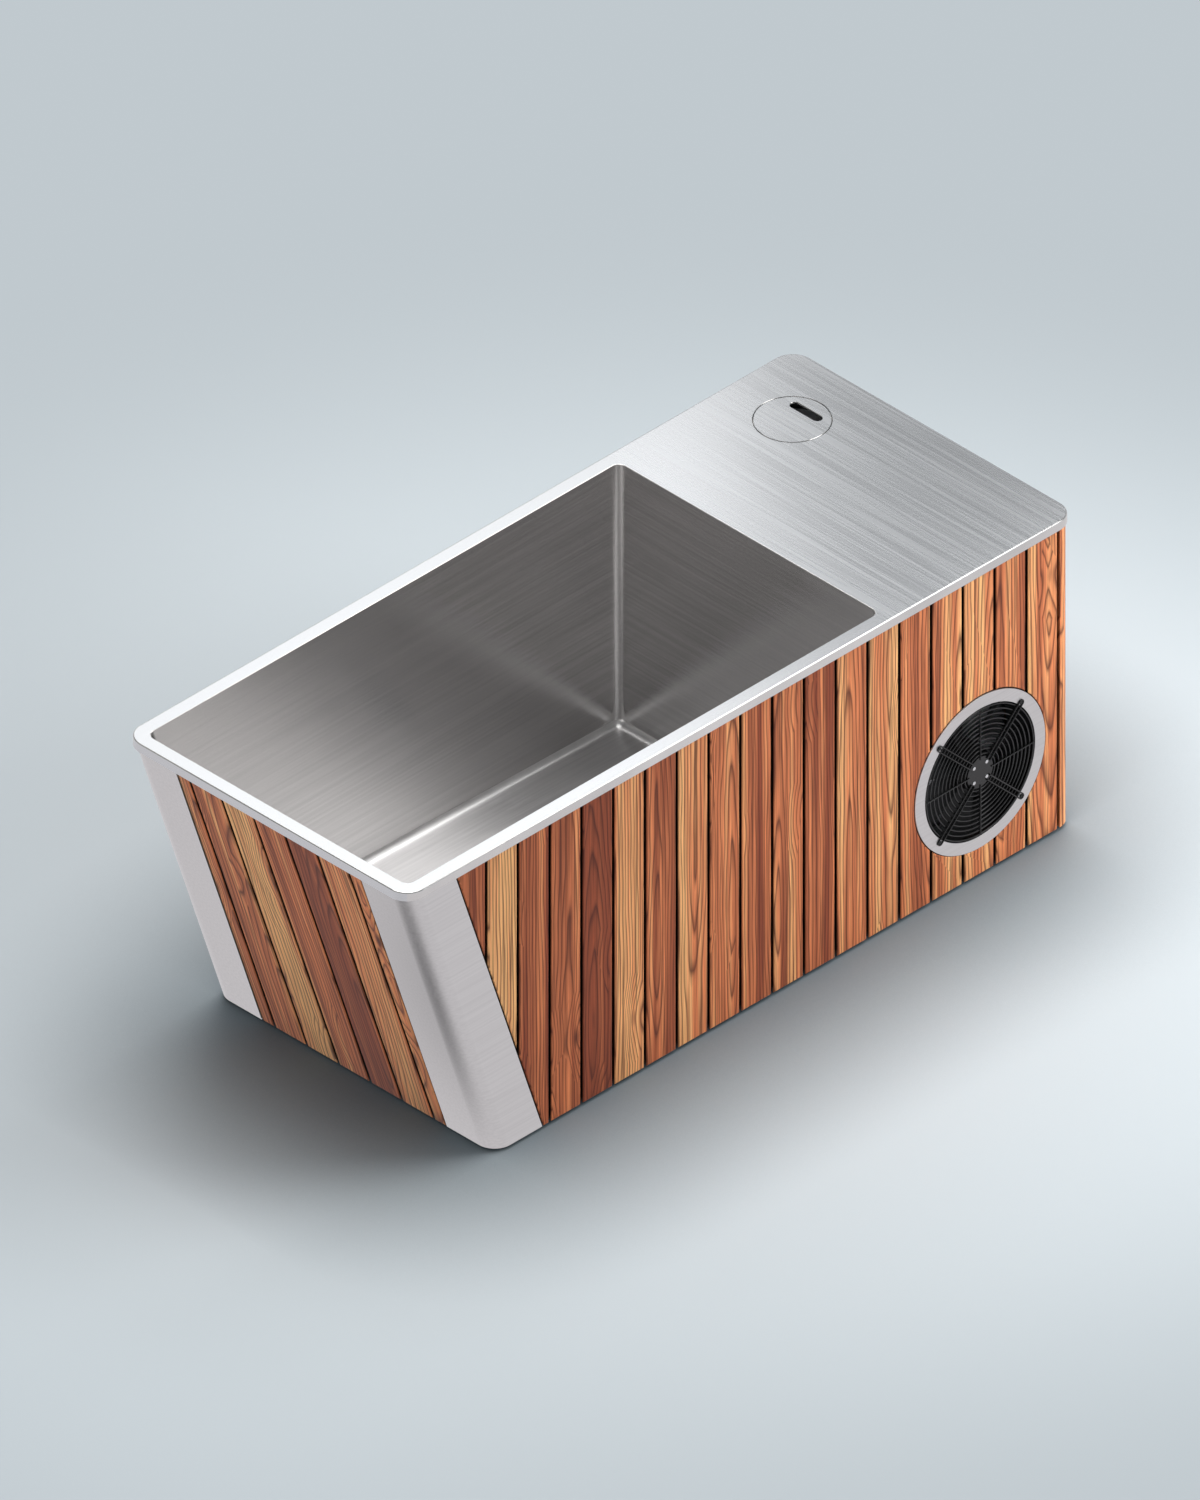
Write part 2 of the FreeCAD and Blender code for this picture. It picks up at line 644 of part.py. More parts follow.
def tank_block(name, grow):
    """The room inside the basin, or its outside where it grows by the sheet, on a parallel floor."""
    body = doc.addObject("PartDesign::Body", name)
    sketch = sketch_on(body, "XZ_Plane")
    wall = f"(rim_width - ({grow}) / {LEAN})"
    rear = f"({POOL_REAR} + {grow})"
    fall = f"(floor_fall / {FLOOR_RUN})"
    level_foot = front_x(f"{FLOOR} + {fall} * {POOL_REAR} - ({grow})", wall)
    foot = f"({level_foot} / (1 - {SLOPE} * {fall}))"
    polygon(sketch, [
        (front_x(UNDER_DECK, wall), UNDER_DECK),
        (foot, f"{floor_z(foot)} - ({grow})"),
        (rear, f"{floor_z(rear)} - ({grow})"),
        (rear, UNDER_DECK),
    ])
    block = raise_sketch(body, "Pad", sketch, f"2 * ({POOL_Y} + {grow})")
    block.SideType = "Symmetric"
    doc.recompute()
    round_edges(body, block, lambda edge: not lies_at(edge, number(UNDER_DECK)), f"basin_corner + {grow}")
    return body


FLOOR_LEAN = Rotation(Vector(0, 1, 0), math.degrees(math.atan(number("floor_fall") / number(FLOOR_RUN))))
SUMP_X = f"({POOL_REAR} - sump_setback)"
RETURN_X = f"({FLOOR_FRONT} + return_lead)"
COMPRESSOR_Y = f"(-{SKIN_Y} + compressor_from_side)"
WATER_Y = f"(({COMPRESSOR_Y} + compressor_radius - pipe_radius) / 2)"
RETURN_Y = f"({WATER_Y} - return_run)"
FITTINGS = {
    "suction": (SUMP_X, "0", floor_z(SUMP_X)),
    "return": (RETURN_X, RETURN_Y, floor_z(RETURN_X)),
}


def fitting_holes(name, radius):
    """Bars through the pool floor where the two fittings pass, square to the floor."""
    reach = "floor_foam_thickness + basin_sheet"
    bars = []
    for kind, start in FITTINGS.items():
        half = [("0", f"-2 * ({reach})"), (radius, f"-2 * ({reach})"), (radius, reach), ("0", reach)]
        bars.append(turned(f"{name}_{kind}", "z", start, half, FLOOR_LEAN))
    return bars


def basin():
    """Welded tank with a raked front wall and a floor that falls to the rear."""
    shell = cut("basin_shell", tank_block("tank_outside", "basin_sheet"), tank_block("tank_room", "0"))
    node("basin", cut("basin_drilled", shell, *fitting_holes("basin_hole", "fitting_stem + stem_clearance")))


# Frame under and behind the basin

RAILS = (
    (BODY_LOW, FRAME_TOP),
    ("mid_rail_height - rail_height / 2", "mid_rail_height + rail_height / 2"),
    (f"{UNDER_DECK} - rail_height", UNDER_DECK),
)
SIDES = (("left", 1), ("right", -1))


def mirrored_span(sign, low, high):
    """A span of Y on the left, or its mirror image on the right."""
    return (low, high) if sign > 0 else (f"-({high})", f"-({low})")


def base_frame():
    """Ladder of square tubes on the foot pads, and the four posts and two beams of the bay."""
    ladder = []
    level = (BODY_LOW, FRAME_TOP)
    for side, sign in SIDES:
        across = mirrored_span(sign, FRAME_Y, TANK_Y)
        ladder.append(tube(f"base_rail_{side}", "x", (FRAME_FRONT, BAY_REAR), across, level))
    middle = f"(({FRAME_FRONT} + {BAY_FRONT} - base_tube) / 2)"
    for index, start in enumerate((FRAME_FRONT, middle, BAY_FRONT, f"{BAY_REAR} - base_tube")):
        span = (start, f"{start} + base_tube")
        ladder.append(tube(f"cross_member_{index}", "y", span, (f"-{FRAME_Y}", FRAME_Y), level))
    node("base_frame", group("base_ladder", ladder))
    uprights = []
    for index, start in enumerate((BAY_FRONT, f"{BAY_REAR} - base_tube")):
        span = (start, f"{start} + base_tube")
        for side, sign in SIDES:
            across = mirrored_span(sign, FRAME_Y, TANK_Y)
            uprights.append(tube(f"bay_post_{side}_{index}", "z", span, across, (FRAME_TOP, UNDER_DECK)))
        beam = (f"{UNDER_DECK} - base_tube", UNDER_DECK)
        uprights.append(tube(f"deck_beam_{index}", "y", span, (f"-{FRAME_Y}", FRAME_Y), beam))
    node("bay_frame", group("bay_uprights", uprights))
    pads = []
    centre = f"({TANK_Y} - base_tube / 2)"
    ends = (f"{FRAME_FRONT} + foot_setback", f"{BAY_REAR} - foot_setback")
    for index, along in enumerate((ends[0], f"({ends[0]} + {ends[1]}) / 2", ends[1])):
        for side, sign in SIDES:
            spot = (along, f"{sign} * {centre}", "0")
            pads.append(rod(f"pad_{side}_{index}", "z", spot, "foot_radius", "foot_height"))
    node("foot_pads", group("pads", pads))
    tray = box("tray", (BAY_FRONT, BAY_REAR), (f"-{FRAME_Y}", FRAME_Y), (FRAME_TOP, TRAY_TOP))
    node("equipment_tray", tray)


def floor_slab(name, low, y):
    """A slab under the sloping floor from a lower edge given at both ends, over a span of Y."""
    points = [
        (FRAME_FRONT, low(FRAME_FRONT)),
        (TANK_REAR, low(TANK_REAR)),
        (TANK_REAR, under_floor(TANK_REAR)),
        (FRAME_FRONT, under_floor(FRAME_FRONT)),
    ]
    return prism(name, "xz", points, y[0], width_of(y))


def floor_layers():
    """Two timber bearers that carry the basin, and foam between and beside them."""
    outer = "(bearer_offset + bearer_width)"
    bearers = [
        floor_slab(f"bearer_{side}", lambda along: FRAME_TOP, mirrored_span(sign, "bearer_offset", outer))
        for side, sign in SIDES
    ]
    node("basin_bearers", group("bearers", bearers))

    def foam_low(along):
        return f"({under_floor(along)} - floor_foam_thickness)"

    middle = floor_slab("floor_foam_block", foam_low, ("-bearer_offset", "bearer_offset"))
    holes = fitting_holes("foam_hole", "nut_radius + nut_clearance")
    panels = [cut("floor_foam_middle", middle, *holes)]
    for side, sign in SIDES:
        span = mirrored_span(sign, outer, f"{POOL_Y} - basin_corner")
        panels.append(floor_slab(f"floor_foam_{side}", foam_low, span))
    node("floor_foam", group("floor_foam_panels", panels))
    across = (f"-{TANK_Y}", TANK_Y)
    foam = box("bulkhead", (TANK_REAR, BAY_FRONT), across, (f"{FLOOR} - basin_sheet", UNDER_DECK))
    node("bulkhead_foam", foam)


# Cladding

def side_slab(name, sign, lead, rear, z, y):
    """An upright layer on one side, with a raked front edge that lies so far behind the front face."""
    low, high = z
    points = [(front_x(low, lead), low), (rear, low), (rear, high), (front_x(high, lead), high)]
    span = mirrored_span(sign, *y)
    return prism(name, "xz", points, span[0], width_of(span))


def front_slab(name, depth, z, half):
    """A raked layer of the front end between two level depths behind its face."""
    near, far = depth
    low, high = z
    points = [
        (front_x(low, near), low),
        (front_x(low, far), low),
        (front_x(high, far), high),
        (front_x(high, near), high),
    ]
    return prism(name, "xz", points, f"-({half})", f"2 * ({half})")


def corner_prism(name, sign, outer, inner_x, inner_y, inner_round):
    """A raked angle round a front corner, between an outer and an inner depth."""
    sketch = doc.addObject("Sketcher::SketchObject", f"{name}_outline")
    place(sketch, "0", "0", BODY_TOP)
    face = front_x(BODY_TOP)
    near = f"{face} + {outer}"
    far = f"{face} + {inner_x}"
    tip = f"{face} + cover_leg"
    edge = f"{sign} * ({SKIN_Y} - {outer})"
    back = f"{sign} * ({SKIN_Y} - {inner_y})"
    end = f"{sign} * ({SKIN_Y} - cover_leg)"
    square_outline(sketch, [
        (near, edge, f"cover_corner - {outer}"),
        (tip, edge, None),
        (tip, back, None),
        (far, back, inner_round),
        (far, end, None),
        (near, end, None),
    ])
    piece = doc.addObject("Part::Extrusion", name)
    piece.Base = sketch
    piece.DirMode = "Custom"
    piece.Solid = True
    drop = f"({BODY_TOP} - {BODY_LOW})"
    for letter, text in zip("xyz", (f"{drop} * {SLOPE}", "0", f"-{drop}")):
        piece.setExpression(f"Dir.{letter}", bound(text))
    return piece


def rails_and_foam():
    """Level rails round the basin and the bay, and foam between them round the basin."""
    rails = []
    foam = []
    gaps = [(RAILS[0][1], RAILS[1][0]), (RAILS[1][1], RAILS[2][0])]
    layer = (TANK_Y, BACKING_Y)
    depth = (BACKING_IN, TANK_IN)
    for index, span in enumerate(RAILS):
        for side, sign in SIDES:
            rails.append(side_slab(f"rail_{side}_{index}", sign, BACKING_IN, ARC_X, span, layer))
        rails.append(front_slab(f"rail_front_{index}", depth, span, TANK_Y))
    for index, span in enumerate(gaps):
        for side, sign in SIDES:
            foam.append(side_slab(f"foam_{side}_{index}", sign, BACKING_IN, BAY_FRONT, span, layer))
        foam.append(front_slab(f"foam_front_{index}", depth, span, TANK_Y))
    node("cladding_rails", group("rails", rails))
    node("wall_foam", group("foam", foam))


FAN_X = f"(({BAY_FRONT} + {BAY_REAR}) / 2 + fan_shift)"
FACE_Y = f"(-{SKIN_Y} - ring_proud)"
BODY_SPAN = (BODY_LOW, BODY_TOP)
THROUGH = ("0", TOP)


def joint_cutters(name, axis, middles, across, level):
    """Slots of one joint's width at each middle along an axis."""
    cutters = []
    for index, middle in enumerate(middles):
        span = (f"{middle} - board_gap / 2", f"{middle} + board_gap / 2")
        spans = (span, across) if axis == "x" else (across, span)
        cutters.append(box(f"{name}_joint_{index}", *spans, level))
    return cutters


def centred_joints(half):
    """Middles of the joints of boards set out both ways from a middle board."""
    count = int(number(f"({half}) / board_pitch") + 0.5)
    return [f"{sign} * {index + 0.5} * board_pitch" for index in range(count) for sign in (1, -1)]


def side_boards():
    """Upright boards on both sides, with the fan's opening and its ring's rebate on the right."""
    run = f"({ARC_X} - board_gap / 2)"
    count = int(number(f"({run} - {front_x(BODY_TOP, 'cover_leg')}) / board_pitch"))
    middles = [f"{run} - {index + 1} * board_pitch" for index in range(count)]
    backing = []
    for side, sign in SIDES:
        span = mirrored_span(sign, f"{BOARD_Y} - backing_thickness", f"{SKIN_Y} + body_inset")
        lead = "cover_leg + cover_gap"
        slab = side_slab(f"boards_{side}", sign, lead, f"{ARC_X} - board_gap", BODY_SPAN, (BOARD_Y, SKIN_Y))
        joints = joint_cutters(f"boards_{side}", "x", middles, span, THROUGH)
        boards = cut(f"boards_{side}_cut", slab, *joints)
        back = side_slab(f"backing_{side}", sign, "cover_leg", ARC_X, BODY_SPAN, (BACKING_Y, BOARD_Y))
        if sign < 0:
            start = (FAN_X, f"{FACE_Y} - ring_thickness", "fan_height")
            boards = cut("boards_bored", boards, rod("boards_bore", "y", start, "fan_radius", "shroud_depth"))
            rebate = "2 * ring_thickness"
            recess = rod("boards_rebate", "y", start, "ring_radius + ring_clearance", rebate)
            boards = cut("boards_rebated", boards, recess)
            back = cut("backing_bored", back, rod("backing_bore", "y", start, "fan_radius", "shroud_depth"))
        backing.append(back)
        node(f"side_boards_{side}", boards)
    half = f"({SKIN_Y} - cover_leg)"
    backing.append(front_slab("backing_front", (BOARD_IN, BACKING_IN), BODY_SPAN, half))
    node("cladding_backing", group("backing", backing))


def front_end():
    """Raked boards between two raked steel covers on timber backers."""
    half = f"({SKIN_Y} - cover_leg - cover_gap)"
    slab = front_slab("front_panel", ("0", BOARD_IN), BODY_SPAN, half)
    slots = joint_cutters("front", "y", centred_joints(half), (FRONT, "0"), THROUGH)
    node("front_boards", cut("front_panel_cut", slab, *slots))
    backers = []
    for side, sign in SIDES:
        bend = "cover_corner - cover_sheet"
        cover = corner_prism(f"cover_{side}", sign, "0", "cover_sheet", "cover_sheet", bend)
        node(f"corner_cover_{side}", cover)
        thickness = "(board_thickness + backing_thickness)"
        backers.append(corner_prism(f"backer_{side}", sign, "cover_sheet", BACKING_IN, thickness, None))
    node("corner_backers", group("backers", backers))


# Rear wall: openings for the vent and the service recess

VENT = (
    (f"-({ARC_Y} - vent_side)", "-vent_inner"),
    ("vent_low", f"({BODY_TOP} - vent_drop)"),
)
RECESS = (
    (f"{LID_Y} - recess_width / 2", f"{LID_Y} + recess_width / 2"),
    ("recess_low", "recess_low + recess_height"),
)
RECESS_BACK = f"({SKIN_X} - recess_depth)"
RECESS_WALL = f"({RECESS_BACK} + recess_sheet)"


def grown(span, amount):
    """A span made longer at both ends, or shorter where the amount is negative."""
    return (f"{span[0]} - ({amount})", f"{span[1]} + ({amount})")


def screw_spots():
    """Places of the screws that hold the rear panel, as (Y, Z)."""
    along = f"({ARC_Y} - board_gap - panel_screw_margin)"
    high = f"({BODY_TOP} - panel_screw_drop)"
    rows = ["panel_screw_low", f"(panel_screw_low + {high}) / 2", high]
    return [(f"{sign} * {along}", level) for side, sign in SIDES for level in rows]


def rear_wall():
    """Rear boards on a removable panel, between two rounded posts that sit on the frame's posts."""
    deep = (f"{BAY_REAR} - rear_panel_thickness", f"{REAR}")
    holes = [
        box("vent_hole", deep, grown(VENT[0], "-vent_margin"), grown(VENT[1], "-vent_margin")),
        box("recess_hole", deep, grown(RECESS[0], "cut_clearance"), grown(RECESS[1], "cut_clearance")),
    ]
    screws = []
    for index, (across, level) in enumerate(screw_spots()):
        start = (BAY_REAR, across, level)
        face = (SKIN_X, across, level)
        reach = "rear_panel_thickness + board_thickness"
        hole = "screw_shank + screw_clearance"
        holes.append(rod(f"screw_hole_{index}", "x", start, hole, f"2 * ({reach})"))
        head = rod(f"screw_head_{index}", "x", face, "panel_screw_head", "panel_screw_rise")
        shank = rod(f"screw_shank_{index}", "x", start, "screw_shank", f"{reach} + panel_screw_rise / 2")
        screws.append(join(f"panel_screw_{index}", head, shank))
    openings = group("rear_openings", holes)
    panel = box("rear_panel_block", (BAY_REAR, BOARD_X), (f"-{ARC_Y}", ARC_Y), (BODY_LOW, UNDER_DECK))
    node("rear_panel", cut("rear_panel_cut", panel, openings))
    half = f"({ARC_Y} - board_gap)"
    slab = box("rear_slab", (BOARD_X, SKIN_X), (f"-{half}", half), BODY_SPAN)
    slots = joint_cutters("rear", "y", centred_joints(half), deep, THROUGH)
    boards = cut("rear_boards_cut", slab, *slots)
    node("rear_boards", cut("rear_boards_opened", boards, openings))
    node("rear_panel_screws", group("panel_screws", screws))
    posts = []
    for side, sign in SIDES:
        round_post = doc.addObject("Part::Cylinder", f"round_post_{side}")
        round_post.Angle = 90
        round_post.Placement = Placement(Vector(), Rotation(Vector(0, 0, 1), 0 if sign > 0 else -90))
        bind(round_post, Radius="body_corner", Height=f"{BODY_TOP} - {BODY_LOW}")
        place(round_post, ARC_X, f"{sign} * {ARC_Y}", BODY_LOW)
        rebate = box(f"post_rebate_{side}", (FAN_X, BAY_REAR), mirrored_span(sign, "0", TANK_Y), THROUGH)
        posts.append(cut(f"rear_post_{side}", round_post, rebate))
    node("rear_corner_posts", group("rear_posts", posts))
    plate = box("vent_plate", (SKIN_X, f"{SKIN_X} + vent_sheet"), *VENT)
    window = grown(VENT[0], "-2 * vent_margin")
    count = int(number(f"({width_of(VENT[1])} - 4 * vent_margin - vent_slot) / vent_pitch")) + 1
    centre = f"({VENT[1][0]} + {VENT[1][1]}) / 2"
    slots = []
    for index in range(count):
        low = f"{centre} + {index - (count - 1) / 2} * vent_pitch - vent_slot / 2"
        slots.append(box(f"vent_slot_{index}", (BOARD_X, REAR), window, (low, f"{low} + vent_slot")))
    node("rear_vent", cut("vent_plate_cut", plate, *slots))


# Lid and filter

LEDGE = f"({TOP} - lid_thickness - gasket_thickness)"
LEDGE_BORE = "(lid_radius - ledge_width)"
COLLAR_LOW = f"({UNDER_DECK} - collar_height)"


def lid_and_filter():
    """Flush lid on a gasket in a collar, over a filter housing and its cartridge."""
    disc = turned("lid_disc", "z", (LID_X, LID_Y, TOP), [
        ("0", "-lid_thickness"),
        ("lid_radius", "-lid_thickness"),
        ("lid_radius", "-lid_chamfer"),
        ("lid_radius - lid_chamfer", "0"),
        ("0", "0"),
    ])
    across = f"({LID_X} + slot_shift)"
    reach = "(slot_length / 2 - slot_width / 2)"
    deep = (LEDGE, f"{TOP} + lid_thickness")
    half = "slot_width / 2"
    slab = box("slot_slab", grown((across, across), half), grown((LID_Y, LID_Y), reach), deep)
    ends = [
        rod(f"slot_end_{side}", "z", (across, f"{LID_Y} + {sign} * {reach}", deep[0]), half, width_of(deep))
        for side, sign in SIDES
    ]
    node("access_lid", cut("lid_slotted", disc, join("lid_slot", slab, *ends)))
    outer = "lid_radius + collar_flange"
    collar = turned("collar", "z", (LID_X, LID_Y, "0"), [
        (LEDGE_BORE, COLLAR_LOW),
        (outer, COLLAR_LOW),
        (outer, UNDER_DECK),
        (LID_HOLE, UNDER_DECK),
        (LID_HOLE, LEDGE),
        (LEDGE_BORE, LEDGE),
    ])
    node("lid_collar", collar)
    inner = f"{LEDGE_BORE} + gasket_margin"
    rim = "lid_radius - gasket_margin"
    top = f"{LEDGE} + gasket_thickness"
    section = [(inner, LEDGE), (rim, LEDGE), (rim, top), (inner, top)]
    node("lid_gasket", turned("gasket", "z", (LID_X, LID_Y, "0"), section))
    room = "(filter_radius - filter_wall)"
    seat = "(filter_base_height + filter_wall)"
    cup = turned("filter_cup", "z", (LID_X, LID_Y, "0"), [
        ("pipe_bore", "filter_base_height"),
        ("filter_radius", "filter_base_height"),
        ("filter_radius", COLLAR_LOW),
        (room, COLLAR_LOW),
        (room, seat),
        ("pipe_bore", seat),
    ])
    port_start = (f"{LID_X} - filter_radius - filter_port_length", LID_Y, "filter_port_height")
    port_length = "filter_port_length + filter_wall"
    port = rod("filter_port", "x", port_start, "pipe_radius", port_length)
    bore = rod("filter_port_bore", "x", port_start, "pipe_bore", f"2 * ({port_length})")
    length = f"({COLLAR_LOW} - {seat} - cartridge_headroom)"
    room_core = rod("filter_room", "z", (LID_X, LID_Y, seat), room, length)
    housing = join("filter_with_port", cup, cut("filter_port_cut", port, room_core))
    node("filter_housing", cut("filter_bored", housing, bore))
    cartridge = turned("cartridge", "z", (LID_X, LID_Y, seat), [
        ("cartridge_bore", "0"),
        ("cartridge_radius", "0"),
        ("cartridge_radius", length),
        ("cartridge_bore", length),
    ])
    node("filter_cartridge", cartridge)


# Fan

ARM_ANGLES = (45, 135, 225, 315)
CROSS_ANGLES = (0, 90, 180, 270)


def fan_spot(angle, radius, sideways="0"):
    """X and Z of a point on a ray from the fan's axis, moved square to the ray."""
    x = f"{FAN_X} + ({radius}) * cos({angle} * 1deg) + ({sideways}) * sin({angle} * 1deg)"
    z = f"fan_height + ({radius}) * sin({angle} * 1deg) - ({sideways}) * cos({angle} * 1deg)"
    return x, z


def spoke(name, angle, start, end, radius, level, sideways="0"):
    """A straight wire along a ray from the fan's axis."""
    way = Vector(math.cos(math.radians(angle)), 0, math.sin(math.radians(angle)))
    piece = doc.addObject("Part::Cylinder", name)
    piece.Placement = Placement(Vector(), Rotation(Vector(0, 0, 1), way))
    bind(piece, Radius=radius, Height=f"({end}) - ({start})")
    x, z = fan_spot(angle, start, sideways)
    place(piece, x, level, z)
    return piece


def guard_arm(angle):
    """A hairpin of wire from the guard's hub to an eye round its screw."""
    level = f"{FACE_Y} - guard_wire"
    legs = []
    for side, sign in SIDES:
        sideways = f"{sign} * arm_spacing / 2"
        leg = spoke(f"arm_{angle}_{side}", angle, "arm_start", "arm_reach", "guard_wire", level, sideways)
        legs.append(leg)
    way = Vector(math.cos(math.radians(angle)), 0, math.sin(math.radians(angle)))
    square = Vector(way.z, 0, -way.x)
    eye = doc.addObject("Part::Torus", f"arm_eye_{angle}")
    eye.Angle3 = 180
    eye.Placement = Placement(Vector(), Rotation(square, way, Vector(0, -1, 0), "XYZ"))
    bind(eye, Radius1="arm_spacing / 2", Radius2="guard_wire")
    x, z = fan_spot(angle, "arm_reach")
    place(eye, x, level, z)
    return join(f"guard_arm_{angle}", eye, *legs)


def fan_front():
    """Trim ring let into the boards, wire guard on it, and the guard's screws and rivets."""
    ring = turned("trim_ring", "y", (FAN_X, FACE_Y, "fan_height"), [
        ("fan_radius", "0"),
        ("ring_radius - ring_chamfer", "0"),
        ("ring_radius", "ring_chamfer"),
        ("ring_radius", "ring_thickness"),
        ("fan_radius", "ring_thickness"),
    ])
    wires = []
    for index in range(int(number("guard_ring_count"))):
        wire = doc.addObject("Part::Torus", f"guard_ring_{index}")
        wire.Placement = Placement(Vector(), AXES["y"])
        bind(wire, Radius1=f"guard_first_ring + {index} * guard_ring_pitch", Radius2="guard_wire")
        place(wire, FAN_X, f"{FACE_Y} + guard_wire", "fan_height")
        wires.append(wire)
    rim = "(guard_first_ring + (guard_ring_count - 1) * guard_ring_pitch)"
    for angle in CROSS_ANGLES:
        level = f"{FACE_Y} - guard_thin_wire"
        wires.append(spoke(f"cross_wire_{angle}", angle, "arm_start", rim, "guard_thin_wire", level))
    plate = rod("guard_hub", "y", (FAN_X, FACE_Y, "fan_height"), "guard_hub_radius", "guard_hub_plate")
    wires.append(plate)
    wires.extend(guard_arm(angle) for angle in ARM_ANGLES)
    node("fan_guard", group("guard", wires))
    fasteners = []
    holes = []
    for angle in ARM_ANGLES:
        x, z = fan_spot(angle, "arm_reach")
        start = (x, f"{FACE_Y} - screw_head_height", z)
        head = rod(f"guard_screw_{angle}", "y", start, "screw_head", "screw_head_height")
        length = "screw_head_height + ring_thickness"
        shank = rod(f"guard_shank_{angle}", "y", start, "screw_shank", length)
        fasteners.append(join(f"guard_bolt_{angle}", head, shank))
        hole = "screw_shank + screw_clearance"
        holes.append(rod(f"ring_hole_{angle}", "y", start, hole, f"2 * ({length})"))
        x, z = fan_spot(angle, "rivet_circle")
        start = (x, f"{FACE_Y} - rivet_height", z)
        fasteners.append(rod(f"rivet_{angle}", "y", start, "rivet_radius", "rivet_height"))
    node("fan_trim_ring", cut("trim_ring_drilled", ring, *holes))
    node("guard_fasteners", group("fasteners", fasteners))


MOTOR_Y = f"({FACE_Y} + guard_hub_plate)"
HUB_START = "(motor_flange + motor_boss + hub_gap)"


def blade_section(radius, chord, pitch):
    """A cambered blade section at a radius: two arcs of one chord, closed by two short lines."""
    thickness = number("blade_thickness")
    camber = number("blade_camber")
    across = Vector(math.cos(pitch), math.sin(pitch), 0)
    lift = Vector(-math.sin(pitch), math.cos(pitch), 0)
    tips = [across * (chord / 2), across * (-chord / 2)]
    lower = [tips[0], lift * camber, tips[1]]
    upper = [spot + lift * thickness for spot in lower]
    edges = [
        Part.Arc(*lower).toShape(),
        Part.LineSegment(lower[2], upper[2]).toShape(),
        Part.Arc(*reversed(upper)).toShape(),
        Part.LineSegment(upper[0], lower[0]).toShape(),
    ]
    wire = Part.Wire(edges)
    outward = Rotation(Vector(0, 1, 0), Vector(0, 0, 1), Vector(1, 0, 0), "XYZ")
    wire.Placement = Placement(Vector(radius, 0, 0), outward)
    return wire


def fan_impeller():
    """Hub cup that turns on the motor's shaft, with twisted blades; its axis lies along local Z."""
    start = number(HUB_START)
    length = number("hub_length")
    wall = number("hub_wall")
    hub = Part.makeCylinder(number("hub_radius"), length, Vector(0, 0, start))
    middle = start + length / 2
    root = number("hub_radius - hub_wall - blade_root_chord / 4")
    sections = []
    for radius, kind in ((root, "root"), (number("blade_tip"), "tip")):
        pitch = math.radians(number(f"blade_{kind}_pitch"))
        wire = blade_section(radius, number(f"blade_{kind}_chord"), pitch)
        wire.translate(Vector(0, 0, middle))
        sections.append(wire)
    blade = Part.makeLoft(sections, True, True)
    turns = int(number("blade_count"))
    blades = []
    for index in range(turns):
        copy = blade.copy()
        copy.rotate(Vector(), Vector(0, 0, 1), 360 * index / turns)
        blades.append(copy)
    room = Part.makeCylinder(number("hub_radius") - wall, length - wall, Vector(0, 0, start))
    sleeve = Part.makeCylinder(number("bearing_radius"), length - wall, Vector(0, 0, start + wall))
    bush = number("fan_shaft_radius + running_clearance")
    shaft = Part.makeCylinder(bush, 2 * length, Vector(0, 0, start - wall))
    wheel = hub.multiFuse(blades).cut(room).fuse(sleeve).cut(shaft).removeSplitter()
    piece = shaped("impeller", wheel)
    piece.Placement = Placement(Vector(), AXES["y"])
    place(piece, FAN_X, MOTOR_Y, "fan_height")
    node("fan_impeller", piece)


def fan_drive():
    """Motor on the guard's hub, and the shroud behind the boards."""
    shaft_end = "motor_flange + motor_boss + fan_shaft_length"
    motor = turned("motor", "y", (FAN_X, MOTOR_Y, "fan_height"), [
        ("0", "0"),
        ("motor_flange_radius", "0"),
        ("motor_flange_radius", "motor_flange"),
        ("motor_boss_radius", "motor_flange"),
        ("motor_boss_radius", "motor_flange + motor_boss"),
        ("fan_shaft_radius", "motor_flange + motor_boss"),
        ("fan_shaft_radius", shaft_end),
        ("0", shaft_end),
    ])
    node("fan_motor", motor)
    duct = "fan_radius + shroud_sheet"
    shroud = turned("shroud", "y", (FAN_X, f"-{BACKING_Y}", "fan_height"), [
        ("fan_radius", "0"),
        ("shroud_flange", "0"),
        ("shroud_flange", "shroud_sheet"),
        (duct, "shroud_sheet"),
        (duct, "shroud_depth"),
        ("fan_radius", "shroud_depth"),
    ])
    node("fan_shroud", shroud)


# Chiller

CONDENSER_Y = (
    f"(-{BACKING_Y} + shroud_depth + condenser_gap)",
    f"(-{BACKING_Y} + shroud_depth + condenser_gap + condenser_depth)",
)
COMPRESSOR_X = f"({BAY_FRONT} + compressor_setback)"
PLATE_LOW = f"({TRAY_TOP} + mount_height)"
COMPRESSOR_LOW = f"({PLATE_LOW} + compressor_plate)"
COMPRESSOR_TOP = f"({COMPRESSOR_LOW} + compressor_height)"
COPPER_Y = f"({WATER_Y} - port_spacing)"
EXCHANGER_X = (f"({BAY_REAR} - exchanger_setback - exchanger_length)", f"({BAY_REAR} - exchanger_setback)")
PIPE_Z = f"({TRAY_TOP} + manifold_height / 2)"
EXCHANGER_HIGH = f"({TRAY_TOP} + exchanger_height - exchanger_margin)"


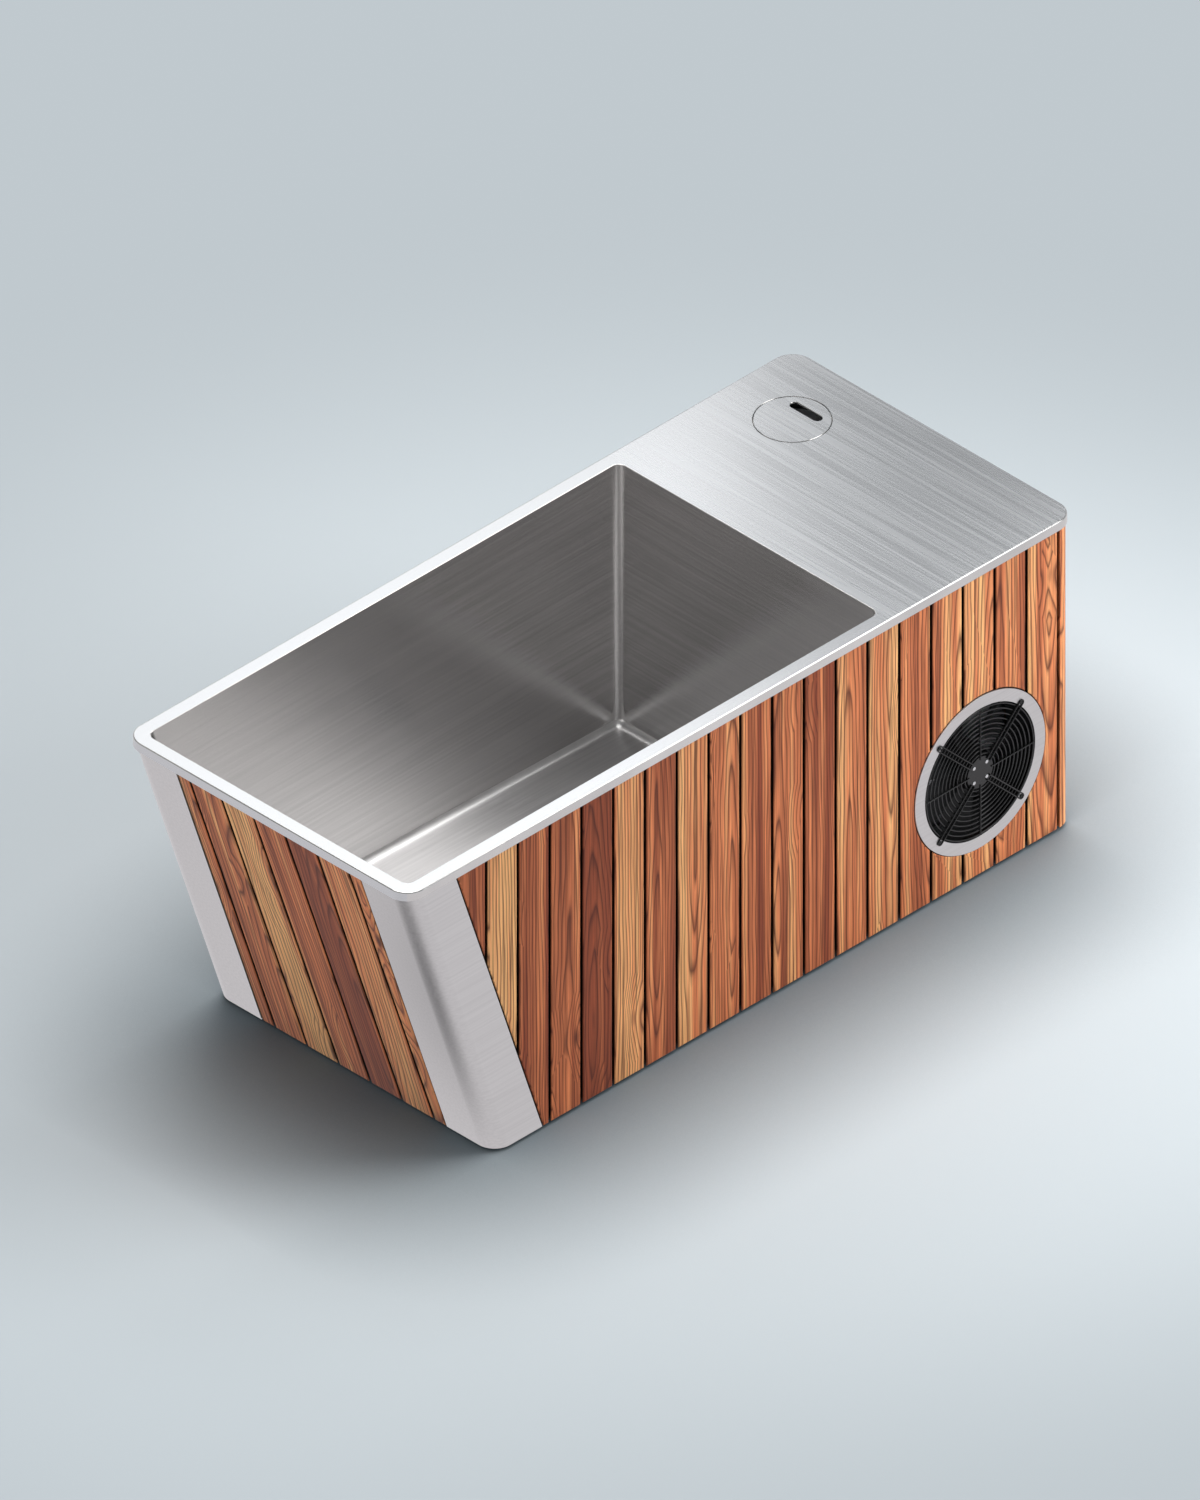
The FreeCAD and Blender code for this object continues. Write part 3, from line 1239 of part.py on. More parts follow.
def condenser():
    """Fin block between two end plates, with the return bends of its tube."""
    half = "condenser_half"
    low = TRAY_TOP
    z = (low, f"{low} + condenser_height")
    solids = [box("fins", (f"{FAN_X} - {half}", f"{FAN_X} + {half}"), CONDENSER_Y, z)]
    across = f"({CONDENSER_Y[0]} + {CONDENSER_Y[1]}) / 2"
    count = int(number("(condenser_height - 2 * bend_pitch / 2) / bend_pitch")) + 1
    for side, sign in SIDES:
        face = f"({FAN_X} + {sign} * ({half} + condenser_plate))"
        inner = f"({FAN_X} + {sign} * {half})"
        span = (inner, face) if sign > 0 else (face, inner)
        solids.append(box(f"end_plate_{side}", span, CONDENSER_Y, z))
        for index in range(count):
            bend = doc.addObject("Part::Torus", f"bend_{side}_{index}")
            bend.Angle3 = 180
            out = Vector(sign, 0, 0)
            up = Vector(0, 0, 1)
            bend.Placement = Placement(Vector(), Rotation(up, out, up.cross(out), "XYZ"))
            bind(bend, Radius1="bend_radius", Radius2="bend_tube")
            place(bend, face, across, f"{low} + ({index} + 0.5) * bend_pitch")
            solids.append(bend)
    node("condenser_coil", group("condenser", solids))


def compressor():
    """Sealed compressor can on a foot plate, on four rubber mounts."""
    can = turned("can", "z", (COMPRESSOR_X, COMPRESSOR_Y, COMPRESSOR_LOW), [
        ("0", "0"),
        ("compressor_radius", "0"),
        ("compressor_radius", "compressor_height - compressor_shoulder"),
        ("compressor_radius - compressor_shoulder", "compressor_height"),
        ("0", "compressor_height"),
    ])
    half = "compressor_plate_half"
    spans = [(f"{middle} - {half}", f"{middle} + {half}") for middle in (COMPRESSOR_X, COMPRESSOR_Y)]
    plate = box("can_plate", *spans, (PLATE_LOW, COMPRESSOR_LOW))
    node("compressor", join("can_on_plate", can, plate))
    reach = f"({half} - mount_radius)"
    mounts = []
    for across in (1, -1):
        for along in (1, -1):
            spot = (f"{COMPRESSOR_X} + {across} * {reach}", f"{COMPRESSOR_Y} + {along} * {reach}", TRAY_TOP)
            mounts.append(rod(f"mount_{len(mounts)}", "z", spot, "mount_radius", "mount_height"))
    node("compressor_mounts", group("mounts", mounts))


def exchanger_and_copper():
    """Plate heat exchanger on the tray, and three copper lines of the cooling circuit."""
    across = (f"{COPPER_Y} - exchanger_margin", f"{WATER_Y} + exchanger_margin")
    block = box("exchanger", EXCHANGER_X, across, (TRAY_TOP, f"{TRAY_TOP} + exchanger_height"))
    node("heat_exchanger", block)
    face = EXCHANGER_X[0]
    rise = f"{COMPRESSOR_TOP} + copper_rise"
    discharge = [
        (COMPRESSOR_X, COMPRESSOR_Y, COMPRESSOR_TOP),
        (COMPRESSOR_X, COMPRESSOR_Y, rise),
        (COMPRESSOR_X, CONDENSER_Y[1], rise),
    ]
    low = f"{TRAY_TOP} + liquid_line_height"
    turn = f"{face} - liquid_line_setback"
    liquid = [(turn, CONDENSER_Y[1], low), (turn, COPPER_Y, low), (face, COPPER_Y, low)]
    drop = f"{face} - copper_turn"
    level = f"{TRAY_TOP} + suction_line_height"
    suction = [
        (face, COPPER_Y, EXCHANGER_HIGH),
        (drop, COPPER_Y, EXCHANGER_HIGH),
        (drop, COPPER_Y, level),
        (drop, COMPRESSOR_Y, level),
        (f"{COMPRESSOR_X} + compressor_radius", COMPRESSOR_Y, level),
    ]
    lines = [
        pipe(f"copper_{name}", points, "copper_radius", None, "copper_bend")
        for name, points in (("discharge", discharge), ("liquid", liquid), ("suction", suction))
    ]
    node("refrigerant_lines", group("copper", lines))


# Pump and water pipes

PUMP_X = f"({BAY_FRONT} + pump_setback)"
PUMP_Y = "pump_offset"
PUMP_Z = f"({TRAY_TOP} + pump_axis_height)"
OUTLET_X = f"({PUMP_X} + pump_nozzle + pump_casing_length / 2)"
OUTLET_TOP = f"({PUMP_Z} + pump_radius + pump_outlet_length)"


def pump():
    """Casing with an inlet and an outlet, impeller on a shaft, and motor on a foot."""
    spot = (PUMP_X, PUMP_Y, PUMP_Z)
    back = "(pump_nozzle + pump_casing_length)"
    room = ("(pump_nozzle + pump_wall)", f"({back} - pump_wall)")
    chamber = "(pump_radius - pump_wall)"
    shaft_hole = "rotor_shaft + 2 * running_clearance"
    volute = turned("volute", "x", spot, [
        ("pipe_bore", "0"),
        ("pipe_radius", "0"),
        ("pipe_radius", "pump_nozzle"),
        ("pump_radius", "pump_nozzle"),
        ("pump_radius", back),
        (shaft_hole, back),
        (shaft_hole, room[1]),
        (chamber, room[1]),
        (chamber, room[0]),
        ("pipe_bore", room[0]),
    ])
    start = (OUTLET_X, PUMP_Y, f"{PUMP_Z} + pump_radius - pump_wall / 2")
    length = "pump_outlet_length + pump_wall / 2"
    outlet = rod("pump_outlet", "z", start, "pipe_radius", length)
    bore = rod("pump_outlet_bore", "z", (OUTLET_X, PUMP_Y, PUMP_Z), "pipe_bore", "2 * pump_radius")
    node("pump_casing", cut("volute_bored", join("volute_with_outlet", volute, outlet), bore))
    disc = (f"({room[0]} + rotor_gap)", f"({room[1]} - rotor_gap)")
    shaft_end = f"({back} + pump_shaft_seat)"
    rotor = turned("rotor", "x", spot, [
        ("0", disc[0]),
        ("rotor_radius", disc[0]),
        ("rotor_radius", f"{disc[0]} + rotor_disc"),
        ("2 * rotor_shaft", disc[1]),
        ("rotor_shaft", disc[1]),
        ("rotor_shaft", shaft_end),
        ("0", shaft_end),
    ])
    node("pump_rotor", rotor)
    bush = "(rotor_shaft + running_clearance)"
    seat = f"({shaft_end} + rotor_gap)"
    end = f"({back} + pump_motor_length)"
    motor = turned("pump_can", "x", spot, [
        (bush, back),
        ("pump_motor_radius", back),
        ("pump_motor_radius", f"{end} - pump_motor_taper"),
        ("pump_motor_radius - pump_motor_taper", end),
        ("0", end),
        ("0", seat),
        (bush, seat),
    ])
    foot_x = f"({PUMP_X} + {back} + pump_foot_setback)"
    across = (f"{PUMP_Y} - pump_foot_half", f"{PUMP_Y} + pump_foot_half")
    foot_top = f"{PUMP_Z} - pump_motor_radius / 2"
    foot = box("pump_foot", (foot_x, f"{foot_x} + pump_foot_length"), across, (TRAY_TOP, foot_top))
    shaft_room = rod("pump_shaft_room", "x", (PUMP_X, PUMP_Y, PUMP_Z), bush, seat)
    node("pump_motor", cut("pump_motor_bored", join("pump_can_on_foot", motor, foot), shaft_room))


def floor_fittings():
    """Suction strainer and return nozzle through the pool floor, each with its nut."""
    stem = "fitting_stem"
    foot = "-stem_length"
    rise = "fitting_rise"
    strainer = turned("strainer_body", "z", FITTINGS["suction"], [
        ("pipe_bore", foot),
        (stem, foot),
        (stem, "0"),
        ("fitting_flange", "0"),
        ("fitting_flange", f"{rise} - fitting_chamfer"),
        ("fitting_flange - fitting_chamfer", rise),
        ("0", rise),
        ("0", f"{rise} - fitting_plate"),
        ("fitting_chamber", f"{rise} - fitting_plate"),
        ("fitting_chamber", "fitting_base"),
        ("pipe_bore", "fitting_base"),
    ], FLOOR_LEAN)
    holes = []
    x, y, z = FITTINGS["suction"]
    count = int(number("strainer_count"))
    for index in range(count):
        angle = 360 * index / count
        across = f"{x} + strainer_circle * cos({angle} * 1deg)"
        along = f"{y} + strainer_circle * sin({angle} * 1deg)"
        start = (across, along, f"{floor_z(across)} + fitting_base + {rise} / 4")
        holes.append(rod(f"strainer_hole_{index}", "z", start, "strainer_hole", f"2 * {rise}"))
    node("suction_strainer", cut("strainer_drilled", strainer, *holes))
    nozzle = turned("nozzle", "z", FITTINGS["return"], [
        ("pipe_bore", foot),
        (stem, foot),
        (stem, "0"),
        ("return_flange", "0"),
        ("return_flange", f"{rise} - fitting_chamfer"),
        ("return_flange - fitting_chamfer", rise),
        ("pipe_bore", rise),
    ], FLOOR_LEAN)
    node("return_nozzle", nozzle)
    thread = "fitting_stem + running_clearance"
    low = "-basin_sheet - nut_height"
    profile = [(thread, low), ("nut_radius", low), ("nut_radius", "-basin_sheet"), (thread, "-basin_sheet")]
    nuts = [turned(f"nut_{kind}", "z", spot, profile, FLOOR_LEAN) for kind, spot in FITTINGS.items()]
    node("floor_fitting_nuts", group("nuts", nuts))


def below_fitting(kind, height):
    """The point on a leaning fitting's axis at a height."""
    x, y, z = FITTINGS[kind]
    return (f"{x} - ({z} - ({height})) * floor_fall / {FLOOR_RUN}", y, height)


def stem_end(kind):
    """The middle of the lower end of a fitting's stem."""
    x, y, z = FITTINGS[kind]
    fall = f"(stem_length / sqrt(1 + (floor_fall / {FLOOR_RUN}) ^ 2))"
    return below_fitting(kind, f"{z} - {fall}")


def water_pipes():
    """Pipes from the pool to the filter, the pump, the heat exchanger and back, and to the drain."""
    turn = f"({BAY_FRONT} + pipe_turn)"
    block = (f"({LID_X} - manifold_half)", f"({LID_X} + manifold_half)")
    port = f"{LID_X} - filter_radius - filter_port_length"
    valve_end = f"({RECESS_BACK} - valve_tail)"
    routes = {
        "suction_pipe": [
            stem_end("suction"),
            below_fitting("suction", PIPE_Z),
            (turn, "0", PIPE_Z),
            (turn, LID_Y, PIPE_Z),
            (block[0], LID_Y, PIPE_Z),
        ],
        "filter_riser": [
            (LID_X, LID_Y, f"{TRAY_TOP} + manifold_height"),
            (LID_X, LID_Y, "filter_base_height"),
        ],
        "pump_feed_pipe": [
            (port, LID_Y, "filter_port_height"),
            (turn, LID_Y, "filter_port_height"),
            (turn, PUMP_Y, "filter_port_height"),
            (turn, PUMP_Y, PUMP_Z),
            (PUMP_X, PUMP_Y, PUMP_Z),
        ],
        "chiller_feed_pipe": [
            (OUTLET_X, PUMP_Y, OUTLET_TOP),
            (OUTLET_X, PUMP_Y, EXCHANGER_HIGH),
            (OUTLET_X, WATER_Y, EXCHANGER_HIGH),
            (EXCHANGER_X[0], WATER_Y, EXCHANGER_HIGH),
        ],
        "return_pipe": [
            (EXCHANGER_X[0], WATER_Y, PIPE_Z),
            (f"{BAY_FRONT} + pipe_bend", WATER_Y, PIPE_Z),
            (f"{BAY_FRONT} + pipe_bend", RETURN_Y, PIPE_Z),
            below_fitting("return", PIPE_Z),
            stem_end("return"),
        ],
        "drain_pipe": [
            (block[1], LID_Y, PIPE_Z),
            (f"({block[1]} + {valve_end}) / 2", LID_Y, PIPE_Z),
            (f"({block[1]} + {valve_end}) / 2", LID_Y, "valve_height"),
            (valve_end, LID_Y, "valve_height"),
        ],
    }
    for name, points in routes.items():
        bend = f"({valve_end} - {block[1]}) * 0.45" if name == "drain_pipe" else "pipe_bend"
        node(name, pipe(name, points, "pipe_radius", "pipe_bore", bend))
    across = (f"{LID_Y} - manifold_half", f"{LID_Y} + manifold_half")
    cube = box("manifold", block, across, (TRAY_TOP, f"{TRAY_TOP} + manifold_height"))
    through = rod("manifold_through", "x", (block[0], LID_Y, PIPE_Z), "pipe_bore", "2 * manifold_half")
    rise = rod("manifold_rise", "z", (LID_X, LID_Y, PIPE_Z), "pipe_bore", "manifold_height")
    node("pipe_manifold", cut("manifold_bored", cube, join("manifold_ways", through, rise)))


# Controls and the service recess

VALVE_X = f"({RECESS_WALL} + valve_length / 2)"
COLUMN_Y = f"({LID_Y} - control_column)"


def controls():
    """Open-backed control box on a plate between the bay's posts."""
    face = f"(-{FRAME_Y} + control_sheet)"
    high = f"({UNDER_DECK} - control_drop)"
    plate = box("plate", (BAY_FRONT, BAY_REAR), (f"-{FRAME_Y}", face), ("control_low", high))
    node("control_plate", plate)
    start = f"({BAY_FRONT} + control_setback)"
    spans = (
        (start, f"{start} + control_length"),
        (face, f"{face} + control_depth"),
        ("control_low + control_margin", f"{high} - control_margin"),
    )
    wall = "control_wall"
    hollow = (
        grown(spans[0], f"-{wall}"),
        (f"{face} - {wall}", f"{face} + control_depth - {wall}"),
        grown(spans[2], f"-{wall}"),
    )
    node("control_box", cut("control_case", box("control_block", *spans), box("control_room", *hollow)))


def service_recess():
    """Steel tray let into the rear boards, drilled for the valve, the power inlet and the switch."""
    across, level = RECESS
    outside = box("recess_outside", (RECESS_BACK, SKIN_X), across, level)
    flange_x = (SKIN_X, f"{SKIN_X} + recess_sheet")
    flange = box("recess_flange", flange_x, grown(across, "recess_flange"), grown(level, "recess_flange"))
    inset = "-recess_sheet"
    room = box("recess_room", (RECESS_WALL, REAR), grown(across, inset), grown(level, inset))
    tray = cut("recess_tray", join("recess_block", outside, flange), room)
    back = (f"{RECESS_BACK} - recess_sheet", f"{RECESS_WALL} + recess_sheet")
    holes = []
    for name, y, height, radius in (
        ("valve_hole", LID_Y, "valve_height", "pipe_radius"),
        ("inlet_hole", COLUMN_Y, "inlet_height", "inlet_neck"),
    ):
        start = (back[0], y, height)
        holes.append(rod(name, "x", start, f"{radius} + screw_clearance", width_of(back)))
    wide = "switch_half_width - switch_wall / 2 + screw_clearance"
    tall = "switch_half_height - switch_wall / 2 + screw_clearance"
    holes.append(box("switch_hole", back, switch_span(wide), switch_rise(tall)))
    node("service_recess", cut("recess_drilled", tray, *holes))


def drain_valve():
    """Ball valve with a hose thread, and its ball, stem and handle as one turning piece."""
    start = f"({RECESS_BACK} - valve_tail)"
    tail = "(valve_tail + recess_sheet)"
    body_end = f"({tail} + valve_length)"
    thread_end = f"({body_end} + thread_length)"
    outside = turned("valve_outside", "x", (start, LID_Y, "valve_height"), [
        ("valve_bore", "0"),
        ("pipe_radius", "0"),
        ("pipe_radius", tail),
        ("valve_radius", tail),
        ("valve_radius", body_end),
        ("thread_radius", body_end),
        ("thread_radius", thread_end),
        ("valve_bore", thread_end),
    ])
    middle = (VALVE_X, LID_Y, "valve_height")
    room = doc.addObject("Part::Sphere", "ball_room")
    bind(room, Radius="ball_radius + ball_clearance")
    place(room, *middle)
    stem_room = rod("stem_room", "z", middle, "stem_radius + running_clearance", "2 * valve_radius")
    node("drain_valve_body", cut("valve_bored", outside, join("valve_room", room, stem_room)))
    ball = doc.addObject("Part::Sphere", "ball_block")
    bind(ball, Radius="ball_radius")
    place(ball, *middle)
    grip_low = "(valve_height + valve_radius + handle_gap)"
    stem = rod("stem", "z", middle, "stem_radius", f"{grip_low} - valve_height + handle_height / 2")
    grip = box(
        "handle",
        (f"{VALVE_X} - handle_width / 2", f"{VALVE_X} + handle_width / 2"),
        (f"{LID_Y} - handle_half", f"{LID_Y} + handle_half"),
        (grip_low, f"{grip_low} + handle_height"),
    )
    way_start = (VALVE_X, f"{LID_Y} - 2 * ball_radius", "valve_height")
    way = rod("ball_way", "y", way_start, "valve_bore", "4 * ball_radius")
    node("drain_valve_handle", cut("ball_bored", join("ball_and_handle", ball, stem, grip), way))


def power_inlet():
    """Cable gland through the recess's wall, with a clear hole for the lead."""
    wall = "(inlet_back + recess_sheet)"
    end = f"({wall} + inlet_front)"
    gland = turned("gland", "x", (f"{RECESS_BACK} - inlet_back", COLUMN_Y, "inlet_height"), [
        ("inlet_bore", "0"),
        ("inlet_radius", "0"),
        ("inlet_radius", "inlet_back"),
        ("inlet_neck", "inlet_back"),
        ("inlet_neck", wall),
        ("inlet_radius", wall),
        ("inlet_radius", f"{end} - inlet_taper"),
        ("inlet_nose", end),
        ("inlet_bore", end),
    ])
    node("power_inlet", gland)


def switch_span(half):
    """A span of Y about the switch's middle."""
    return (f"{COLUMN_Y} - ({half})", f"{COLUMN_Y} + ({half})")


def switch_rise(half):
    """A span of Z about the switch's middle."""
    return (f"switch_height - ({half})", f"switch_height + ({half})")


def power_switch():
    """Snap-in switch frame with a rocker on a pin, leaning to its off side."""
    inner = "switch_half_width - switch_wall / 2"
    tall = "switch_half_height - switch_wall / 2"
    front = f"{RECESS_WALL} + switch_frame"
    bezel_x = (RECESS_WALL, front)
    bezel = box("bezel", bezel_x, switch_span("switch_half_width"), switch_rise("switch_half_height"))
    can_x = (f"{RECESS_BACK} - switch_depth", RECESS_WALL)
    can = box("switch_can", can_x, switch_span(inner), switch_rise(tall))
    window = "(switch_half_width - switch_wall)"
    room_x = (f"{can_x[0]} + switch_floor", f"{front} + switch_frame")
    room = box("switch_room", room_x, switch_span(window), switch_rise("switch_half_height - switch_wall"))
    axle = f"({window} + rocker_pin_seat)"
    pin_start = (RECESS_WALL, f"{COLUMN_Y} - {axle}", "switch_height")
    pin_room = rod("pin_room", "y", pin_start, "rocker_pin + running_clearance", f"2 * {axle}")
    frame = cut("switch_case", join("switch_block", bezel, can), join("switch_rooms", room, pin_room))
    node("power_switch", frame)
    rocker = doc.addObject("Part::Box", "rocker_block")
    half = f"({window} - rocker_clearance)"
    bind(rocker, Length="rocker_back + rocker_front", Width=f"2 * {half}", Height="2 * rocker_half_height")
    lean = number("rocker_tilt")
    turn = Rotation(Vector(0, 1, 0), -lean)
    rocker.Placement = Placement(Vector(), turn)
    back = "rocker_back * cos(rocker_tilt * 1deg) - rocker_half_height * sin(rocker_tilt * 1deg)"
    drop = "rocker_back * sin(rocker_tilt * 1deg) + rocker_half_height * cos(rocker_tilt * 1deg)"
    place(rocker, f"{RECESS_WALL} - ({back})", f"{COLUMN_Y} - {half}", f"switch_height - ({drop})")
    pin_half = f"({axle} - rocker_clearance / 2)"
    pin_spot = (RECESS_WALL, f"{COLUMN_Y} - {pin_half}", "switch_height")
    pin = rod("rocker_pin_bar", "y", pin_spot, "rocker_pin", f"2 * {pin_half}")
    node("switch_rocker", join("rocker_on_pin", rocker, pin))


def write_parts():
    """Check every object and write each sub-part to its own file."""
    doc.recompute()
    failed = [piece.Name for piece in doc.Objects if {"Invalid", "Error"} & set(piece.State)]
    if failed:
        raise RuntimeError(f"objects that failed: {failed}")
    for piece in NODES:
        if piece.Shape.isNull() or not piece.Shape.isValid() or not piece.Shape.Solids:
            raise RuntimeError(f"no valid solid in {piece.Label}")
    os.makedirs("parts", exist_ok=True)
    for piece in NODES:
        piece.Shape.exportStep(f"parts/{piece.Label}.step")
        print(f"{piece.Label}: {len(piece.Shape.Solids)} solids, {piece.Shape.Volume / 1000:.1f} cm3")


top_deck()
basin()
base_frame()
floor_layers()
rails_and_foam()
side_boards()
front_end()
rear_wall()
lid_and_filter()
fan_front()
fan_impeller()
fan_drive()
condenser()
compressor()
exchanger_and_copper()
pump()
floor_fittings()
water_pipes()
controls()
service_recess()
drain_valve()
power_inlet()
power_switch()
write_parts()
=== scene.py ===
"""Cold plunge tub: steel basin and deck, cedar cladding, raked front end and a guarded chiller fan."""
import json
import math

import bmesh
import bpy
import numpy as np
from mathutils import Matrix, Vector
from mathutils.geometry import tessellate_polygon


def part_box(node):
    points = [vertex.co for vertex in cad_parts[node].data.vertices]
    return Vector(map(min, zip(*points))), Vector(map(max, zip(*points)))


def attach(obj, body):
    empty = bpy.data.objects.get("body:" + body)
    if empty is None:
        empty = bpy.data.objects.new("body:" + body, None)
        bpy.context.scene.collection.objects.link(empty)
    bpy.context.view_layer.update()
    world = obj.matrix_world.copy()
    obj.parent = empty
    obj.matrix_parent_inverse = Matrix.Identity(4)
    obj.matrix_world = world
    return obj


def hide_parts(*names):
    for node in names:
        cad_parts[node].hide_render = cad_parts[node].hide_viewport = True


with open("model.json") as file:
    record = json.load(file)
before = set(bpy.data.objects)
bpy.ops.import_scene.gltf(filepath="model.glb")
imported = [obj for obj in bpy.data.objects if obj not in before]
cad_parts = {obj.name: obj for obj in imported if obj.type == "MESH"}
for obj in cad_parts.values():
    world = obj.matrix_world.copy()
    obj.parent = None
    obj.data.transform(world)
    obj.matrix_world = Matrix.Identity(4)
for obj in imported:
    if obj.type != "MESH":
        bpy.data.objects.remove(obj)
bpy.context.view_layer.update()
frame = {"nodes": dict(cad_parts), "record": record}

bl_info = {
    "name": "Cold plunge tub",
    "version": (1, 0, 0),
    "blender": (4, 5, 0),
    "location": "View3D > Sidebar > Tub",
    "description": "Builds a cold plunge tub on its measured frame",
    "category": "Add Mesh",
}

# Sizes in millimetres, in the frame of the solids: origin on the floor, +X to the chiller end, +Z up
MM = 0.001
DECK_LOW, DECK_HIGH = (np.array(corner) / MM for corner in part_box("top_deck"))
HALF_LENGTH, HALF_WIDTH, TOP = DECK_HIGH
SKIRT_LOW = DECK_LOW[2]

# Deck and its rim
DECK_SHEET = 2.0
UNDER_DECK = TOP - DECK_SHEET
RIM_CORNER = 45.0
RIM_ROUND = 3.0
RIM_WIDTH = 32.0
SKIRT_BREAK = 0.3
POOL_ROUND = 1.5
HATCH_EASE = 0.8

# Pool and basin, whose floor falls to the rear
POOL_Y = HALF_WIDTH - RIM_WIDTH
POOL_REAR = 400.0
BASIN_CORNER = 18.0
BASIN_SHEET = 2.0
TANK_Y = POOL_Y + BASIN_SHEET
RAKE = math.radians(18.5)
SLOPE = math.tan(RAKE)
LEAN = math.cos(RAKE)
FLOOR_REAR = 119.0
FLOOR_FALL = 26.0
FLOOR_FRONT_X = -HALF_LENGTH + RIM_WIDTH + (TOP - FLOOR_REAR - FLOOR_FALL) * SLOPE
FITTINGS = ((120.0, 0.0), (-350.0, -130.0))
STEM_HOLE = 20.5

# Cladding, rear posts and corner covers
SKIN_SETBACK = 5.0
SKIN_X = HALF_LENGTH - SKIN_SETBACK
SKIN_Y = HALF_WIDTH - SKIN_SETBACK
BODY_LOW = 8.0
BODY_TOP = 713.0
BODY_CORNER = 36.0
ARC_X = SKIN_X - BODY_CORNER
ARC_Y = SKIN_Y - BODY_CORNER
BAY_REAR = 870.0
POST_EASE = 1.0
BOARD_THICKNESS = 12.0
BOARD_PITCH = 85.4
BOARD_GAP = 7.0
COVER_LEG = 128.0
COVER_CORNER = 42.0
COVER_SHEET = 2.0
COVER_GAP = 4.0
# Joints that a side may have, and an end on each side of its middle
SIDE_JOINTS = 21
END_JOINTS = 6
# The narrowest board and cut that are made, and points so close that they are one
LEAST_BOARD = 1.0
LEAST_CUT = 0.5
SAME_POINT = 0.05
# Openings in the rear boards: from and to in Y, then in Z
VENT_HOLE = (-274.0, -26.0, 476.0, 644.0)
RECESS_HOLE = (135.0, 297.0, 69.0, 241.0)

# Lid, and its slot beside the middle, with a sliver of flat between the quarters of its round ends
LID_X, LID_Y = 733.0, 216.0
LID_RADIUS = 75.0
LID_THICKNESS = 4.0
LID_EASE = 0.9
LID_HOLE = 76.2
SLOT_LENGTH, SLOT_WIDTH, SLOT_SHIFT = 80.0, 20.0, 37.0
SLOT_FLAT = 0.01

# Fan front: trim ring, guard, and screws and rivets as (radius, height)
FAN_X, FAN_Z = 644.0, 245.0
FAN_RADIUS = 148.0
RING_PROUD = 1.0
FACE_Y = -SKIN_Y - RING_PROUD
RING_RADIUS = 175.0
RING_THICKNESS = 2.5
RING_EASE = 0.8
RING_EASE_MIDDLE = 0.24
RING_ROOM = 1.5
LINING_FRONT, LINING_BACK, LINING_ROOM = 0.1, 1.0, 0.4
WIRE = 1.6
THIN_WIRE = 1.2
FIRST_RING, RING_PITCH, RING_COUNT = 40.0, 10.4, 11
HUB_RADIUS = 34.5
HUB_PLATE = 2.0
HUB_EASE = 0.5
ARM_SPACING, ARM_START, ARM_REACH = 11.0, 29.0, 154.0
ARM_ANGLES = np.radians([45, 135, 225, 315])
CROSS_ANGLES = np.radians([0, 90, 180, 270])
SCREW = (3.4, 3.2)
RIVET = (4.0, 2.0)
RIVET_CIRCLE = 24.0
DOME_WALL = 0.35
LEAST_RADIUS = 0.02

# Steps along arcs and round circles
CORNER_STEPS = 10
RIM_STEPS = 16
BASIN_STEPS = 12
BEND_STEPS = 6
DOME_STEPS = 5
ARC_STEPS = 25
HAIRPIN_STEPS = 17
ROUND_STEPS = 96
RING_STEPS = 144
WIRE_STEPS = 128
WIRE_SIDES = 12
HUB_STEPS = 72
HOLE_STEPS = 48
SCREW_STEPS = 32

# A board's eased edge, in shares of the ease: inwards, behind the face, and how deep its grain lies, which
# also sets its share of painted joint shade
EASED_EDGE = ((0.08, 0.62, 0.6), (0.29, 0.29, 0.3), (0.62, 0.08, 0.0), (1, 0, 0.0))
# Angles in degrees past which an edge stays sharp, on new pieces and on smoothed nodes
SHARP_ANGLE = 30
NODE_ANGLE = 28
# Distance within which a node's loose points are merged
NODE_MERGE = 0.01

# Seed of the boards' random draws
WOOD_SEED = 175756
# Tones of the cedar, from dark to light, and how far a board's tone strays from them
BOARD_TONES = (0.1, 0.3, 0.45, 0.65, 0.88)
TONE_SPREAD = 0.06
POST_TONE = 0.45
LINING_TONE = 0.3
# Where a board's heart lies beside its middle and in front of its face, and how it leans
HEART_SPREAD = 45.0
HEART_DEPTH = 6.0
HEART_LEAN = (0.03, 0.09)
# How far a board's grain is shifted, in metres, and how sharply the painted shade of the joints darkens its
# edge
GRAIN_SHIFT = 4.0
JOINT_SHADE_POWER = 3


class TubSizes(bpy.types.PropertyGroup):
    """Sizes of the finish that a user may change."""
    board_ease: bpy.props.FloatProperty(
        name="Board edge", description="Eased edge of a cedar board", default=2.6 * MM, unit="LENGTH")
    sheet_ease: bpy.props.FloatProperty(
        name="Sheet edge", description="Broken edge of the steel sheets", default=0.5 * MM, unit="LENGTH")
    camera_height: bpy.props.FloatProperty(
        name="View height", description="Height of the view's frame", default=2.8506, unit="LENGTH")


